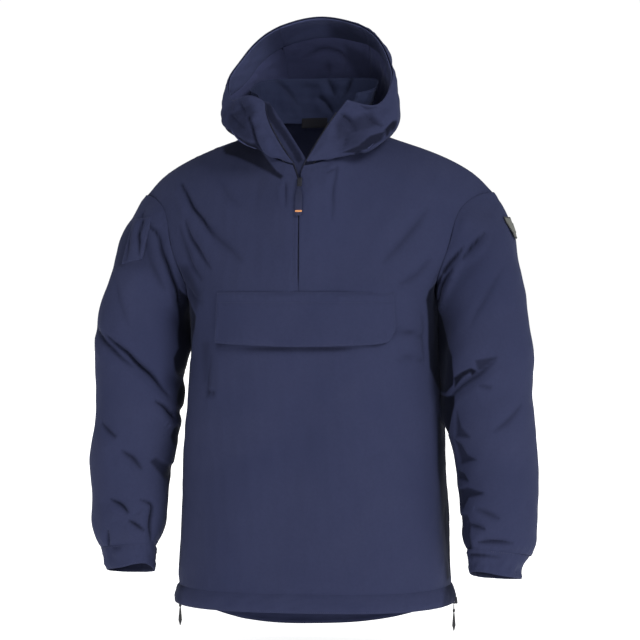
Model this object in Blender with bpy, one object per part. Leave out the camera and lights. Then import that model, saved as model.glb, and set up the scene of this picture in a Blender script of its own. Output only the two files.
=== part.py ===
"""Hooded half-zip anorak, hollow as when worn, as separate cut-and-sewn pieces.

Metres, +Z up. The front faces -Y and the wearer's left side is +X. The origin
lies midway between the shoulders, level with the middle of the shoulder seams.
Each wall is an open surface through rows of computed points, thickened inwards.
"""

import math
from collections import namedtuple

import bmesh
import bpy
import numpy as np
from mathutils import Vector
from mathutils.bvhtree import BVHTree

# ---- cloth and seams ----
WALL = 0.0022  # padded shell
THIN = 0.0014  # collar, linings, guard
TAPE = 0.0010  # zip tapes and label
GAP = 0.0003  # between touching pieces
SEAM_CUT = 0.0003  # each piece ends this far short of a shared seam
SLEEVE_CUT = 0.0015  # the sleeve starts this far outside the armhole seam
LAID = 0.0010  # what lies on a panel starts this far above it
DENSE = 96  # samples of a row before it is spaced out

# ---- body ----
ARMPIT = -0.245
HEM = -0.738
BACK_DROP = 0.050  # the back hem hangs lower than the front
CORNER_RISE = 0.005  # the hem rises at the side seams
HEM_SKEW = 0.009  # it hangs lower on the wearer's right
SIDE_Y = 0.012  # side seams
BAND = 0.029  # hem band
BAND_PROUD = 0.004  # the hem band's flare at the sides
ROUNDNESS = 2.6  # superellipse power of a body section
NECK_WIDTH = 0.082
NECK_FRONT = (-0.120, -0.033)  # y, z
NECK_SIDE = (-0.005, 0.040)
NECK_BACK = (0.066, 0.056)
NECK_SHARE = 0.34  # part of a panel's top edge that is neckline
SHOULDER_Y = 0.034  # the shoulder seam ends this far back

Section = namedtuple("Section", "height half_width front back")
SECTIONS = (
    Section(-0.830, 0.229, 0.150, 0.150),
    Section(-0.738, 0.2260, 0.149, 0.149),
    Section(-0.680, 0.2190, 0.1465, 0.1450),
    Section(-0.600, 0.2165, 0.1455, 0.1400),
    Section(-0.500, 0.2135, 0.1450, 0.1350),
    Section(-0.400, 0.2085, 0.1455, 0.1340),
    Section(-0.300, 0.2030, 0.1470, 0.1390),
    Section(-0.245, 0.2050, 0.1470, 0.1430),
)
Centre = namedtuple("Centre", "height front back")
CENTRES = (
    Centre(-0.245, 0.1470, 0.1430),
    Centre(-0.180, 0.1460, 0.1460),
    Centre(-0.110, 0.1420, 0.1400),
    Centre(-0.067, 0.1350, 0.1320),
    Centre(-0.033, 0.1200, 0.1220),
    Centre(0.020, 0.0900, 0.0980),
    Centre(0.056, 0.0600, 0.0660),
)
Ridge = namedtuple("Ridge", "across height")
SHOULDER = (
    Ridge(0.082, 0.040),
    Ridge(0.110, 0.024),
    Ridge(0.150, 0.0105),
    Ridge(0.192, -0.004),
    Ridge(0.238, -0.0255),
    Ridge(0.2695, -0.0470),
    Ridge(0.2905, -0.0695),
)

# ---- front zip ----
ZIP_BOTTOM = -0.222
CLOSED_HALF_GAP = 0.0011
Spread = namedtuple("Spread", "start slope")  # how each side of the open neck leans away
SPREADS = {1: Spread(-0.045, 0.53), -1: Spread(-0.067, 0.48)}
TAPE_WIDTH = 0.013
TAPE_SHOWS = 0.0022  # how far a tape stands into the open neck
TAPE_TUCK = 0.0027  # it runs this much deeper past the neck seam
SLIDER_Z = (-0.066, -0.052)
SLIDER_SIZE = (0.0080, 0.0035)  # across, out
Edge = namedtuple("Edge", "height x y")
GUARD_EDGE = (  # free edge of the guard behind the zip
    Edge(-0.215, 0.010, -0.1400),
    Edge(-0.110, 0.010, -0.1370),
    Edge(-0.067, 0.011, -0.1285),
    Edge(-0.042, 0.009, -0.1150),
    Edge(-0.024, 0.007, -0.1100),
    Edge(0.030, -0.029, -0.1000),
    Edge(0.061, -0.051, -0.0850),
    Edge(0.078, -0.0645, -0.0740),
)

# ---- side zips ----
SIDE_ZIP_TOP = -0.41
SIDE_ZIP_GAP = 0.0012  # from the seam's middle to each panel
SIDE_ZIP_WIDTH = 0.014
SIDE_SLIDER = (0.0034, 0.0070, 0.0085)  # out, across, above the hem's edge
SLIDER_LIP = (0.0024, 0.0045)  # its foot: below the hem's edge, and in under it
SLIDER_LEAN = 0.0012  # its top follows the hem band inwards

# ---- armhole and sleeve ----
ARMHOLE_SCOOP = {-1: (0.020, 0.040), 1: (0.012, 0.024)}  # front, back
SLEEVE_ROUNDNESS = 2.25
Ring = namedtuple(
    "Ring", "inner_x inner_z outer_x outer_z inner_y outer_y half_depth tilt"
)
RINGS = (
    Ring(0.2066, -0.2465, 0.2912, -0.0700, 0.012, 0.034, 0.0785, 0.00),
    Ring(0.2132, -0.2780, 0.3185, -0.1200, 0.004, 0.028, 0.0795, 0.00),
    Ring(0.2135, -0.3200, 0.3380, -0.2000, -0.008, -0.004, 0.0785, 0.00),
    Ring(0.2125, -0.3700, 0.3545, -0.2900, -0.016, -0.024, 0.0755, 0.00),
    Ring(0.2178, -0.4300, 0.3580, -0.4050, -0.020, -0.026, 0.0710, 0.02),
    Ring(0.2345, -0.5130, 0.3665, -0.5050, -0.019, -0.022, 0.0670, 0.06),
    Ring(0.2420, -0.5800, 0.3685, -0.5780, -0.034, -0.014, 0.0630, 0.10),
    Ring(0.2465, -0.6200, 0.3655, -0.6250, -0.040, -0.014, 0.0570, 0.14),
    Ring(0.2560, -0.6440, 0.3545, -0.6545, -0.046, -0.008, 0.0465, 0.16),
)
CUFF = (
    Ring(0.2556, -0.6447, 0.3548, -0.6552, -0.046, -0.008, 0.0470, 0.16),
    Ring(0.2580, -0.6660, 0.3470, -0.6720, -0.042, -0.012, 0.0450, 0.16),
    Ring(0.2585, -0.6850, 0.3435, -0.6890, -0.040, -0.014, 0.0440, 0.16),
)

# ---- hood: columns from the brim back to the neck seam ----
Column = namedtuple("Column", "place brim out roll neck_angle")
HOOD = (
    Column(0.00, (0.000, 0.052, 0.2245), (0.000, 0.150, 0.232), (0.000, 0.212, 0.080), 180),
    Column(0.20, (0.071, 0.050, 0.208), (0.082, 0.138, 0.208), (0.080, 0.196, 0.065), 150),
    Column(0.38, (0.107, 0.027, 0.178), (0.114, 0.096, 0.172), (0.108, 0.148, 0.036), 120),
    Column(0.53, (0.126, -0.005, 0.143), (0.128, 0.042, 0.118), (0.125, 0.068, 0.020), 95),
    Column(0.67, (0.137, -0.042, 0.112), (0.154, -0.045, 0.075), (0.158, -0.055, 0.004), 70),
)
HOOD_FRONT = {
    1: (
        Column(0.82, (0.117, -0.076, 0.064), (0.138, -0.082, 0.046), (0.116, -0.118, -0.030), 42),
        Column(0.91, (0.093, -0.089, 0.066), (0.094, -0.098, 0.040), (0.070, -0.122, -0.022), 24),
        Column(1.00, (0.071, -0.098, 0.072), (0.046, -0.103, 0.042), (0.026, -0.113, 0.008), 0),
    ),
    -1: (
        Column(0.82, (0.120, -0.072, 0.074), (0.138, -0.080, 0.050), (0.112, -0.118, -0.012), 42),
        Column(0.91, (0.094, -0.090, 0.086), (0.100, -0.098, 0.056), (0.074, -0.121, -0.012), 24),
        Column(1.00, (0.063, -0.100, 0.072), (0.068, -0.100, 0.045), (0.040, -0.112, 0.008), 0),
    ),
}
LOBE_DROP = 0.028  # the wearer's left side of the hood rolls this much lower
HOOD_STRIP = 0.19  # half of the centre piece, as a place
HOOD_DEPTHS = (0.0, 0.09, 0.18, 0.27, 0.38, 0.50, 0.62, 0.74, 0.87, 1.0)
FACING_COLUMNS = 4  # of those depths
LINING_COLUMNS = 9
LINED_TO = 0.83  # the place where facing and lining end
LINING_GAP = 0.0012
HOOD_CLEAR = 0.0058  # above the shoulders
SEAM_CLEAR_BESIDE = 0.0042  # where the hood joins the neck at its sides
SEAM_CLEAR_BEHIND = 0.0010
SEAM_RISE = 0.0026  # of the neck seam at the shoulders' ends

# ---- collar inside the hood ----
Stand = namedtuple("Stand", "place neck_angle top inset")
COLLAR = (
    Stand(0.00, 180, (0.000, 0.070, 0.122), 0.0021),
    Stand(0.35, 125, (0.092, 0.048, 0.119), 0.0050),
    Stand(0.60, 90, (0.104, 0.010, 0.106), 0.0056),
    Stand(0.80, 58, (0.101, -0.032, 0.094), 0.0056),
    Stand(1.00, 24, (0.080, -0.060, 0.086), 0.0056),
)
COLLAR_RISE = 0.0040  # its lower edge clears the hood at the sides
COLLAR_DIP = 0.0020  # and covers the seam at the back
LABEL_X = (-0.031, 0.011)
LABEL_DROP = (0.003, -0.0135)  # above and below the collar's lower edge

# ---- chest pocket flap ----
FLAP_X = (-0.134, 0.147)
FLAP_Z = (-0.3125, -0.233)
FLAP_SAG = 0.006
FLAP_CORNER = 0.016  # cut off the lower corner on the wearer's left
FLAP_WALL = 0.0026
FLAP_STAND_OFF = 0.005

# ---- small pieces ----
Corner = namedtuple("Corner", "x z")
SLEEVE_POCKET = (  # upper outer, upper inner, lower inner, lower outer
    Corner(-0.296, -0.113),
    Corner(-0.2665, -0.110),
    Corner(-0.2720, -0.178),
    Corner(-0.3060, -0.186),
)
POCKET_WALL = 0.0016
POCKET_LIFT = 0.0030
BADGE_Y, BADGE_Z = (0.000, 0.036), (-0.146, -0.111)
BADGE_LIFT = 0.0024
Slice = namedtuple("Slice", "down half_width half_depth")
FRONT_PULL = (
    Slice(-0.0005, 0.0024, 0.0008),
    Slice(0.0060, 0.0030, 0.0009),
    Slice(0.0100, 0.0052, 0.0009),
    Slice(0.0430, 0.0055, 0.0009),
    Slice(0.0460, 0.0042, 0.0007),
)
SIDE_PULL = (
    Slice(-0.0008, 0.0007, 0.0010),
    Slice(0.0070, 0.0009, 0.0009),
    Slice(0.0085, 0.0019, 0.0018),
    Slice(0.0115, 0.0019, 0.0018),
    Slice(0.0130, 0.0009, 0.0009),
    Slice(0.0160, 0.0013, 0.0012),
    Slice(0.0340, 0.0028, 0.0016),
    Slice(0.0430, 0.0006, 0.0006),
)
FRONT_PIVOT = (0.0, -0.1401, -0.0668)
SIDE_PIVOT = (0.2272, SIDE_Y, -0.7377)

# ---- folds large enough to shape the walls ----
Fold = namedtuple("Fold", "face from_x from_z to_x to_z depth width")
SLEEVE_FOLDS = (
    Fold(-1, -0.350, -0.298, -0.229, -0.396, 0.0070, 0.014),
    Fold(-1, -0.262, -0.125, -0.214, -0.245, 0.0070, 0.013),
    Fold(-1, -0.310, -0.491, -0.246, -0.530, 0.0050, 0.012),
    Fold(-1, -0.324, -0.571, -0.262, -0.618, 0.0050, 0.012),
    Fold(-1, 0.288, -0.127, 0.216, -0.240, 0.0070, 0.014),
    Fold(-1, 0.235, -0.384, 0.310, -0.337, 0.0065, 0.013),
    Fold(-1, 0.243, -0.545, 0.292, -0.553, 0.0050, 0.011),
    Fold(-1, 0.262, -0.606, 0.330, -0.628, 0.0045, 0.011),
    Fold(1, -0.345, -0.370, -0.235, -0.420, 0.0065, 0.014),
    Fold(1, -0.340, -0.520, -0.250, -0.560, 0.0055, 0.013),
    Fold(1, 0.345, -0.350, 0.235, -0.405, 0.0065, 0.014),
    Fold(1, 0.345, -0.500, 0.250, -0.545, 0.0055, 0.013),
    Fold(1, 0.270, -0.130, 0.216, -0.235, 0.0060, 0.013),
    Fold(1, -0.270, -0.130, -0.216, -0.235, 0.0060, 0.013),
)
BODY_FOLDS = (
    Fold(-1, -0.206, -0.062, -0.112, -0.170, 0.0050, 0.016),
    Fold(-1, 0.200, -0.105, 0.140, -0.185, 0.0040, 0.016),
    Fold(1, -0.190, -0.120, -0.095, -0.200, 0.0050, 0.018),
    Fold(1, 0.190, -0.120, 0.100, -0.210, 0.0050, 0.018),
)

NAVY = (0.036, 0.042, 0.098)
COLOURS = {
    "shell": (*NAVY, 0.75, 0.0),
    "lining": (0.030, 0.034, 0.080, 0.85, 0.0),
    "zip": (0.016, 0.018, 0.036, 0.45, 0.0),
    "metal": (0.060, 0.060, 0.070, 0.40, 0.7),
    "patch": (0.045, 0.047, 0.055, 0.60, 0.0),
    "label": (0.012, 0.012, 0.016, 0.60, 0.0),
}


# ---------------------------------------------------------------- numbers


def table(rows, *columns):
    """The named columns of a table of named tuples, as an array."""
    return np.array([[getattr(row, name) for name in columns] for row in rows], float)


def smooth(keys, values, at):
    """A smooth curve through the table's rows, read at any places."""
    keys, values = np.asarray(keys, float), np.asarray(values, float)
    slopes = np.gradient(values, keys, axis=0)
    at = np.asarray(at, float)
    i = np.clip(np.searchsorted(keys, at) - 1, 0, len(keys) - 2)
    step = keys[i + 1] - keys[i]
    t = (at - keys[i]) / step
    if values.ndim > 1:
        t, step = t[..., None], step[..., None]
    return (
        (1 + 2 * t) * (1 - t) ** 2 * values[i]
        + t * (1 - t) ** 2 * step * slopes[i]
        + t * t * (3 - 2 * t) * values[i + 1]
        + t * t * (t - 1) * step * slopes[i + 1]
    )


def mirrored(keys, values):
    """A table that starts at 0, with its second row mirrored in front across X."""
    first = values[1] * np.array([-1, 1, 1])
    return np.concatenate([[-keys[1]], keys]), np.concatenate([[first], values])


def ramp(value, low, high):
    """0 below low, 1 above high, smooth between."""
    t = np.clip((value - low) / (high - low), 0, 1)
    return t * t * (3 - 2 * t)


def unit(vectors):
    """Vectors scaled to length 1."""
    length = np.linalg.norm(vectors, axis=-1, keepdims=True)
    return vectors / np.maximum(length, 1e-12)


def evenly(row, shares):
    """Points of a polyline at shares of its length."""
    steps = np.linalg.norm(np.diff(row, axis=0), axis=1)
    run = np.concatenate([[0], np.cumsum(steps)])
    at = np.asarray(shares) * run[-1]
    return np.stack([np.interp(at, run, row[:, k]) for k in range(3)], axis=1)


def trimmed(row, count, cut_end, crowd=1.0):
    """Points of a row that ends short of its seam, closer at its start by crowd."""
    length = np.linalg.norm(np.diff(row, axis=0), axis=1).sum()
    return evenly(row, np.linspace(0, 1, count) ** crowd * (1 - cut_end / length))


def at_distances(row, distances):
    """Points along a polyline, also before its start for distances below 0."""
    length = np.linalg.norm(np.diff(row, axis=0), axis=1).sum()
    onward = unit(row[1] - row[0])
    return np.array(
        [
            row[0] + onward * d if d < 0 else evenly(row, [d / length])[0]
            for d in distances
        ]
    )


def normals(grid, closed=False, halved=False):
    """Unit normals of a grid, level across the first column of a mirrored half."""
    if closed:
        padded = np.concatenate([grid[:, -1:], grid, grid[:, :1]], axis=1)
        across = (padded[:, 2:] - padded[:, :-2]) / 2
    else:
        across = np.gradient(grid, axis=1)
    along = np.gradient(grid, axis=0)
    if halved:
        seam = np.abs(grid[:, 0, 0]) < 1e-9
        across[seam, 0] *= np.array([1.0, 0.0, 0.0])
    return unit(np.cross(across, along))


def outward(grid, away_from, closed=False, halved=False):
    """Normals of a grid, turned away from a point."""
    facing = normals(grid, closed, halved)
    if (facing * (grid - np.asarray(away_from))).sum() < 0:
        facing = -facing
    return facing


def folded(grid, folds, centre, closed=False):
    """The grid with each fold pressed in as a trough between two low ridges.

    The grid's seams stay where they are.
    """
    facing = outward(grid, centre, closed, halved=not closed)
    shift = np.zeros(grid.shape[:2])
    for fold in folds:
        start = np.array([fold.from_x, fold.from_z])
        run = np.array([fold.to_x, fold.to_z]) - start
        flat = grid[:, :, [0, 2]] - start
        share = np.clip(flat @ run / (run @ run), 0, 1)
        away = np.linalg.norm(flat - share[..., None] * run, axis=2) / fold.width
        fade = 4 * (share + 0.12) * (1.12 - share) / 1.6
        side = ramp(fold.face * (grid[:, :, 1] - centre[1]), 0.0, 0.03)
        trough = np.exp(-(away**2)) - 0.45 * np.exp(-((away - 1.9) ** 2))
        shift -= fold.depth * np.clip(fade, 0, 1) * side * trough
    shift[[0, -1]] = 0
    if not closed:
        shift[:, -1] = 0
    return grid + facing * shift[..., None]


# ---------------------------------------------------------------- body forms


def neck(angle):
    """The neckline, from 0 degrees at the front to 180 at the back, on +X."""
    turn = math.radians(angle)
    x = NECK_WIDTH * math.sin(turn) ** 0.9 if 0 < angle < 180 else 0.0
    reach = abs(math.cos(turn))
    end = NECK_FRONT if angle < 90 else NECK_BACK
    power = 1.25 if angle < 90 else 1.6
    y = NECK_SIDE[0] + (end[0] - NECK_SIDE[0]) * reach
    z = NECK_SIDE[1] + (end[1] - NECK_SIDE[1]) * reach**power
    return np.array([x, y, z])


def neck_at_gap(side):
    """The front end of the neck seam, at the zip's edge."""
    half_gap = opening(NECK_FRONT[1], side)
    return neck(math.degrees(math.asin((half_gap / NECK_WIDTH) ** (1 / 0.9))))


def ring_middle(ring, up):
    """Y of a sleeve ring's middle between its inner and outer lines."""
    return ring.inner_y + (ring.outer_y - ring.inner_y) * (up + 1) / 2


def armhole(angle, face):
    """The armhole seam on +X: 0 degrees on the shoulder, 180 at the armpit."""
    first = RINGS[0]
    turn = math.radians(angle)
    bulge = 2 / SLEEVE_ROUNDNESS
    up = math.copysign(abs(math.cos(turn)) ** bulge, math.cos(turn))
    out = abs(math.sin(turn)) ** bulge
    scoop, arch = ARMHOLE_SCOOP[face]
    x = (first.inner_x + first.outer_x) / 2 + (first.outer_x - first.inner_x) / 2 * up
    x -= scoop * abs(math.sin(turn)) + arch * abs(math.sin(turn)) * max(math.cos(turn), 0)
    z = (first.inner_z + first.outer_z) / 2 + (first.outer_z - first.inner_z) / 2 * up
    return np.array([x, ring_middle(first, up) + face * first.half_depth * out, z])


def opening(height, side):
    """Half the width of the zip gap, which spreads into the open neck."""
    spread = SPREADS[side]
    lift = max(height - spread.start, 0)
    wider = spread.slope * (math.hypot(lift, 0.006) - 0.006)
    return CLOSED_HALF_GAP + wider if height > ZIP_BOTTOM else 0.0


def top_edge(face, side):
    """A panel's neckline and shoulder seam, read at shares of the panel's width."""
    if face < 0:
        half_gap = opening(NECK_FRONT[1], side)
        start = math.degrees(math.asin((half_gap / NECK_WIDTH) ** (1 / 0.9)))
        around = [neck(angle) for angle in np.linspace(start, 90, 24)]
    else:
        around = [neck(angle) for angle in np.linspace(180, 90, 24)]
    ridge = table(SHOULDER, "across", "height")
    across = np.linspace(ridge[0, 0], armhole(0, face)[0], 30)
    back = NECK_SIDE[0] + (SHOULDER_Y - NECK_SIDE[0]) * (
        (across - across[0]) / (across[-1] - across[0])
    )
    line = np.stack([across, back, smooth(ridge[:, 0], ridge[:, 1], across)], axis=1)
    first = evenly(np.array(around), np.linspace(0, 1, 40))
    second = evenly(line, np.linspace(0, 1, 40))
    keys = np.concatenate(
        [np.linspace(0, NECK_SHARE, 40), np.linspace(NECK_SHARE, 1, 40)[1:]]
    )
    points = np.concatenate([first, second[1:]])
    return lambda share: np.stack(
        [np.interp(share, keys, points[:, k]) for k in range(3)], axis=-1
    )


def body_depth(height, face):
    """Half width and depth of the body below the armpits."""
    heights = table(SECTIONS, "height")[:, 0]
    which = "front" if face < 0 else "back"
    found = smooth(heights, table(SECTIONS, "half_width", which), height)
    return found[..., 0], found[..., 1]


def hem_line(turn, face, side):
    """Height of the hem at an angle round the body from the centre line."""
    drop = BACK_DROP if face > 0 else 0.0
    skew = HEM_SKEW * side * np.sin(2 * turn) if face > 0 else 0.0
    return HEM + CORNER_RISE * np.sin(turn) ** 4 - drop * np.cos(turn) ** 2 + skew


def lower_row(face, side, drop, proud=0.0):
    """Half a body row below the armpit: drop 0 at the armpit, 1 at the hem."""
    turn = np.linspace(0, math.pi / 2, DENSE)
    height = ARMPIT + (hem_line(turn, face, side) - ARMPIT) * drop
    width, depth = body_depth(height, face)
    power = 2 / ROUNDNESS
    reach = np.cos(turn) ** power
    x = (width + proud) * np.sin(turn) ** power
    y = face * (depth + proud / 2) * reach + SIDE_Y * (1 - reach)
    return np.stack([x, y, height], axis=1)


def climb_share(climb):
    """How far up the panel a climb is: level with the ridge at the end."""
    return climb + climb**2 - climb**3


def upper_row(face, side, climb, top):
    """Half a body row above the armpit: climb 0 at the armpit, 1 on the shoulder."""
    sweep = climb * math.pi / 2
    share = climb_share(climb)
    edge = armhole(180 * (1 - share), face)
    centre_top = NECK_FRONT[1] if face < 0 else NECK_BACK[1]
    height = ARMPIT + (centre_top - ARMPIT) * share
    centres = table(CENTRES, "height", "front" if face < 0 else "back")
    depth = float(smooth(centres[:, 0], centres[:, 1], height))
    start = opening(height, side) if face < 0 else 0.0
    across = np.sin(np.linspace(0, math.pi / 2, DENSE)) ** (2 / ROUNDNESS)
    square = 1 - np.clip(1 - across**ROUNDNESS, 0, 1) ** (1 / ROUNDNESS)
    blend = ramp(climb, 0.0, 0.42)
    away = (1 - blend) * square + blend * across**2.1
    row = np.stack(
        [
            start + (edge[0] - start) * across,
            face * depth + (edge[1] - face * depth) * away,
            height + (edge[2] - height) * across**2,
        ],
        axis=1,
    )
    last_edge = armhole(0, face)
    last_start = opening(centre_top, side) if face < 0 else 0.0
    last_depth = float(smooth(centres[:, 0], centres[:, 1], centre_top))
    last = np.stack(
        [
            last_start + (last_edge[0] - last_start) * across,
            face * last_depth + (last_edge[1] - face * last_depth) * across**2.1,
            centre_top + (last_edge[2] - centre_top) * across**2,
        ],
        axis=1,
    )
    pull = top(across) - last
    weights = np.array([math.sin(sweep) ** 3, 1 - math.cos(sweep), math.sin(sweep) ** 2])
    return row + pull * weights


def half_panel(face, side, rows_below, rows_above, columns):
    """Rows of half a front or back, from the hem band's seam to the shoulder."""
    top = top_edge(face, side)
    band_share = 1 - BAND / (ARMPIT - HEM)
    grid = []
    for drop in np.linspace(band_share, 0, rows_below):
        row = lower_row(face, side, drop)
        zipped = row[-1, 2] < SIDE_ZIP_TOP
        grid.append(trimmed(row, columns, SIDE_ZIP_GAP if zipped else SEAM_CUT))
    for climb in np.linspace(0, 1, rows_above + 1)[1:]:
        row = upper_row(face, side, climb, top)
        grid.append(trimmed(row, columns, SEAM_CUT, 1 + 0.35 * climb**2))
    grid = np.array(grid)
    grid[-1, :, 1] += face * SEAM_CUT
    grid[:, :, 0] *= side
    return grid


# ---------------------------------------------------------------- sleeve forms


def sleeve_ring(values, angles, side, scoop=0.0):
    """One closed ring of a sleeve; 0 degrees outside, 90 in front, 180 underneath."""
    ring = Ring(*values)
    turn = np.radians(angles)
    bulge = 2 / SLEEVE_ROUNDNESS
    up = np.sign(np.cos(turn)) * np.abs(np.cos(turn)) ** bulge
    out = -np.sign(np.sin(turn)) * np.abs(np.sin(turn)) ** bulge
    x = (ring.inner_x + ring.outer_x) / 2 + (ring.outer_x - ring.inner_x) / 2 * up
    z = (ring.inner_z + ring.outer_z) / 2 + (ring.outer_z - ring.inner_z) / 2 * up
    for face in (-1, 1):
        near = face * out > 0
        dip, arch = ARMHOLE_SCOOP[face]
        slope = np.abs(np.sin(turn))
        x = x - near * scoop * (dip * slope + arch * slope * np.maximum(np.cos(turn), 0))
    y = ring_middle(ring, up) + ring.half_depth * out
    z = z - ring.tilt * ring.half_depth * out
    return np.stack([side * x, y, z], axis=-1)


def sleeve_grid(rings, rows, angles, side, scoop_rows=0.0):
    """Closed rings along a sleeve or cuff, read smoothly from its table."""
    rings = np.array(rings, float)
    middle = np.stack([(rings[:, 0] + rings[:, 2]) / 2, (rings[:, 1] + rings[:, 3]) / 2], 1)
    run = np.concatenate([[0], np.cumsum(np.linalg.norm(np.diff(middle, axis=0), axis=1))])
    run /= run[-1]
    grid = []
    for share in rows:
        scoop = (1 - ramp(share, 0, scoop_rows)) if scoop_rows else 0.0
        grid.append(sleeve_ring(smooth(run, rings, share), angles, side, scoop))
    return np.array(grid)


# ---------------------------------------------------------------- hood forms


def hood_column(place, depths, side=None):
    """Points of the hood from the brim, depth 0, to the neck seam, depth 1."""
    side = side or (1 if place >= 0 else -1)
    columns = HOOD + HOOD_FRONT[side]
    keys = table(columns, "place")[:, 0]
    ends = np.array([neck(column.neck_angle) for column in columns])
    ends[-1] = neck_at_gap(side)
    handles = [table(columns, name)[:, 0] for name in ("brim", "out", "roll")] + [ends]
    brim, out, roll, seam = (
        smooth(*mirrored(keys, handle), abs(place)) for handle in handles
    )
    if side > 0:
        low = math.exp(-(((abs(place) - 0.68) / 0.13) ** 2))
        roll = roll - np.array([0, 0, LOBE_DROP * low])
    beside = math.exp(-(((abs(place) - 0.55) / 0.13) ** 2))
    seam = seam + np.array([0, 0, 3 * GAP + SEAM_RISE * beside])
    d = np.asarray(depths)[:, None]
    points = (
        (1 - d) ** 3 * brim
        + 3 * d * (1 - d) ** 2 * out
        + 3 * d * d * (1 - d) * roll
        + d**3 * seam
    )
    points[:, 0] *= side
    return points


def hood_grid(places, depths):
    """A grid of the hood's surface, a row for each place and a column for each depth."""
    return np.array([hood_column(place, depths) for place in places])


def collar_grid(columns, rows):
    """The inner collar, a row for each height and a column for each place."""
    keys = table(COLLAR, "place")[:, 0]
    tops = table(COLLAR, "top")[:, 0]
    angles, insets = table(COLLAR, "neck_angle", "inset").T
    lines = []
    for place in np.linspace(-1, 1, columns):
        near = abs(place)
        angle = float(np.interp(near, keys, angles))
        low = neck(angle)
        axis = np.array([0, -0.02, low[2]])
        low = low + unit(axis - low) * np.interp(near, keys, insets)
        low[2] += COLLAR_RISE - (COLLAR_RISE + COLLAR_DIP) * ramp(angle, 125, 160)
        high = smooth(*mirrored(keys, tops), near)
        out = np.array([high[0] - low[0], high[1] - low[1], 0]) * 0.18
        share = np.linspace(0, 1, rows)[:, None]
        line = low + (high - low) * share + out * 4 * share * (1 - share)
        line[:, 0] *= 1 if place >= 0 else -1
        lines.append(line)
    return np.array(lines).transpose(1, 0, 2)


# ---------------------------------------------------------------- objects


def start_scene():
    """An empty scene with a collection for the garment."""
    for old in list(bpy.data.objects):
        bpy.data.objects.remove(old, do_unlink=True)
    collection = bpy.data.collections.new("anorak")
    bpy.context.scene.collection.children.link(collection)
    return collection


def material(name):
    """The plain finish of one kind of piece."""
    found = bpy.data.materials.get(name)
    if found:
        return found
    red, green, blue, roughness, metallic = COLOURS[name]
    found = bpy.data.materials.new(name)
    found.use_nodes = True
    shader = found.node_tree.nodes["Principled BSDF"]
    shader.inputs["Base Color"].default_value = (red, green, blue, 1)
    shader.inputs["Roughness"].default_value = roughness
    shader.inputs["Metallic"].default_value = metallic
    found.diffuse_color = (red, green, blue, 1)
    return found


def from_axis(x=0.0, y=0.0):
    """An outside direction that points away from a vertical axis."""
    return lambda centre: (centre[0] - x, centre[1] - y, 0.0)


def cloth_mesh(name, grids, thickness, outside, closed=False, facings=None):
    """A wall of cloth: the grids as its outside, a copy moved in, and its rims.

    Neighbouring grids join where their points meet. Facings are unit normals for
    each grid's points; without them the mesh's own are used.
    """
    bm = bmesh.new()
    found, given = {}, {}
    for index, grid in enumerate(grids):
        rows, columns = grid.shape[:2]
        verts = []
        for r in range(rows):
            verts.append([])
            for c in range(columns):
                key = tuple(np.round(grid[r, c], 6))
                if key not in found:
                    found[key] = bm.verts.new(grid[r, c])
                    if facings is not None:
                        given[found[key]] = Vector(facings[index][r, c])
                verts[r].append(found[key])
        for r in range(rows - 1):
            for c in range(columns if closed else columns - 1):
                d = (c + 1) % columns
                bm.faces.new((verts[r][c], verts[r][d], verts[r + 1][d], verts[r + 1][c]))
    bmesh.ops.recalc_face_normals(bm, faces=bm.faces)
    bm.normal_update()
    looks = sum(f.calc_area() * f.normal.dot(outside(f.calc_center_median())) for f in bm.faces)
    if looks < 0:
        bmesh.ops.reverse_faces(bm, faces=bm.faces)
        bm.normal_update()
    outer = list(bm.faces)
    rims = [
        (loop.vert, loop.link_loop_next.vert)
        for face in outer
        for loop in face.loops
        if loop.edge.is_boundary
    ]
    inner = {}
    for vert in list(bm.verts):
        facing = given.get(vert, vert.normal)
        if facing.dot(vert.normal) < 0:
            facing = -facing
        inner[vert] = bm.verts.new(vert.co - facing * thickness)
    for face in outer:
        bm.faces.new([inner[vert] for vert in reversed(face.verts)])
    for first, second in rims:
        bm.faces.new((second, first, inner[first], inner[second]))
    mesh = bpy.data.meshes.new(name)
    bm.to_mesh(mesh)
    bm.free()
    return mesh


class Garment:
    """Puts finished meshes into the collection as named objects."""

    def __init__(self, collection):
        self.collection = collection

    def add(self, name, mesh, finish):
        piece = bpy.data.objects.new(name, mesh)
        self.collection.objects.link(piece)
        mesh.materials.append(material(finish))
        mesh.shade_smooth()
        mesh.set_sharp_from_angle(angle=math.radians(50))
        return piece

    def wall(self, name, grids, finish, thickness, outside, **how):
        """A cloth wall that grows inwards from the given grids."""
        if isinstance(grids, np.ndarray):
            grids = [grids]
        return self.add(name, cloth_mesh(name, grids, thickness, outside, **how), finish)

    def column(self, name, slices, finish):
        """A closed bar through rings of points, with a flat face at each end."""
        bm = bmesh.new()
        rings = [[bm.verts.new(point) for point in ring] for ring in slices]
        count = len(rings[0])
        for low, high in zip(rings, rings[1:]):
            for k in range(count):
                n = (k + 1) % count
                bm.faces.new((low[k], low[n], high[n], high[k]))
        bm.faces.new(rings[0])
        bm.faces.new(rings[-1])
        bmesh.ops.recalc_face_normals(bm, faces=bm.faces)
        mesh = bpy.data.meshes.new(name)
        bm.to_mesh(mesh)
        bm.free()
        return self.add(name, mesh, finish)


def surface_of(*pieces):
    """The pieces' outsides, to lay other pieces on."""
    points, faces = [], []
    for piece in pieces:
        first = len(points)
        points += [vert.co.copy() for vert in piece.data.vertices]
        faces += [[first + v for v in face.vertices] for face in piece.data.polygons]
    return BVHTree.FromPolygons(points, faces)


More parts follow.
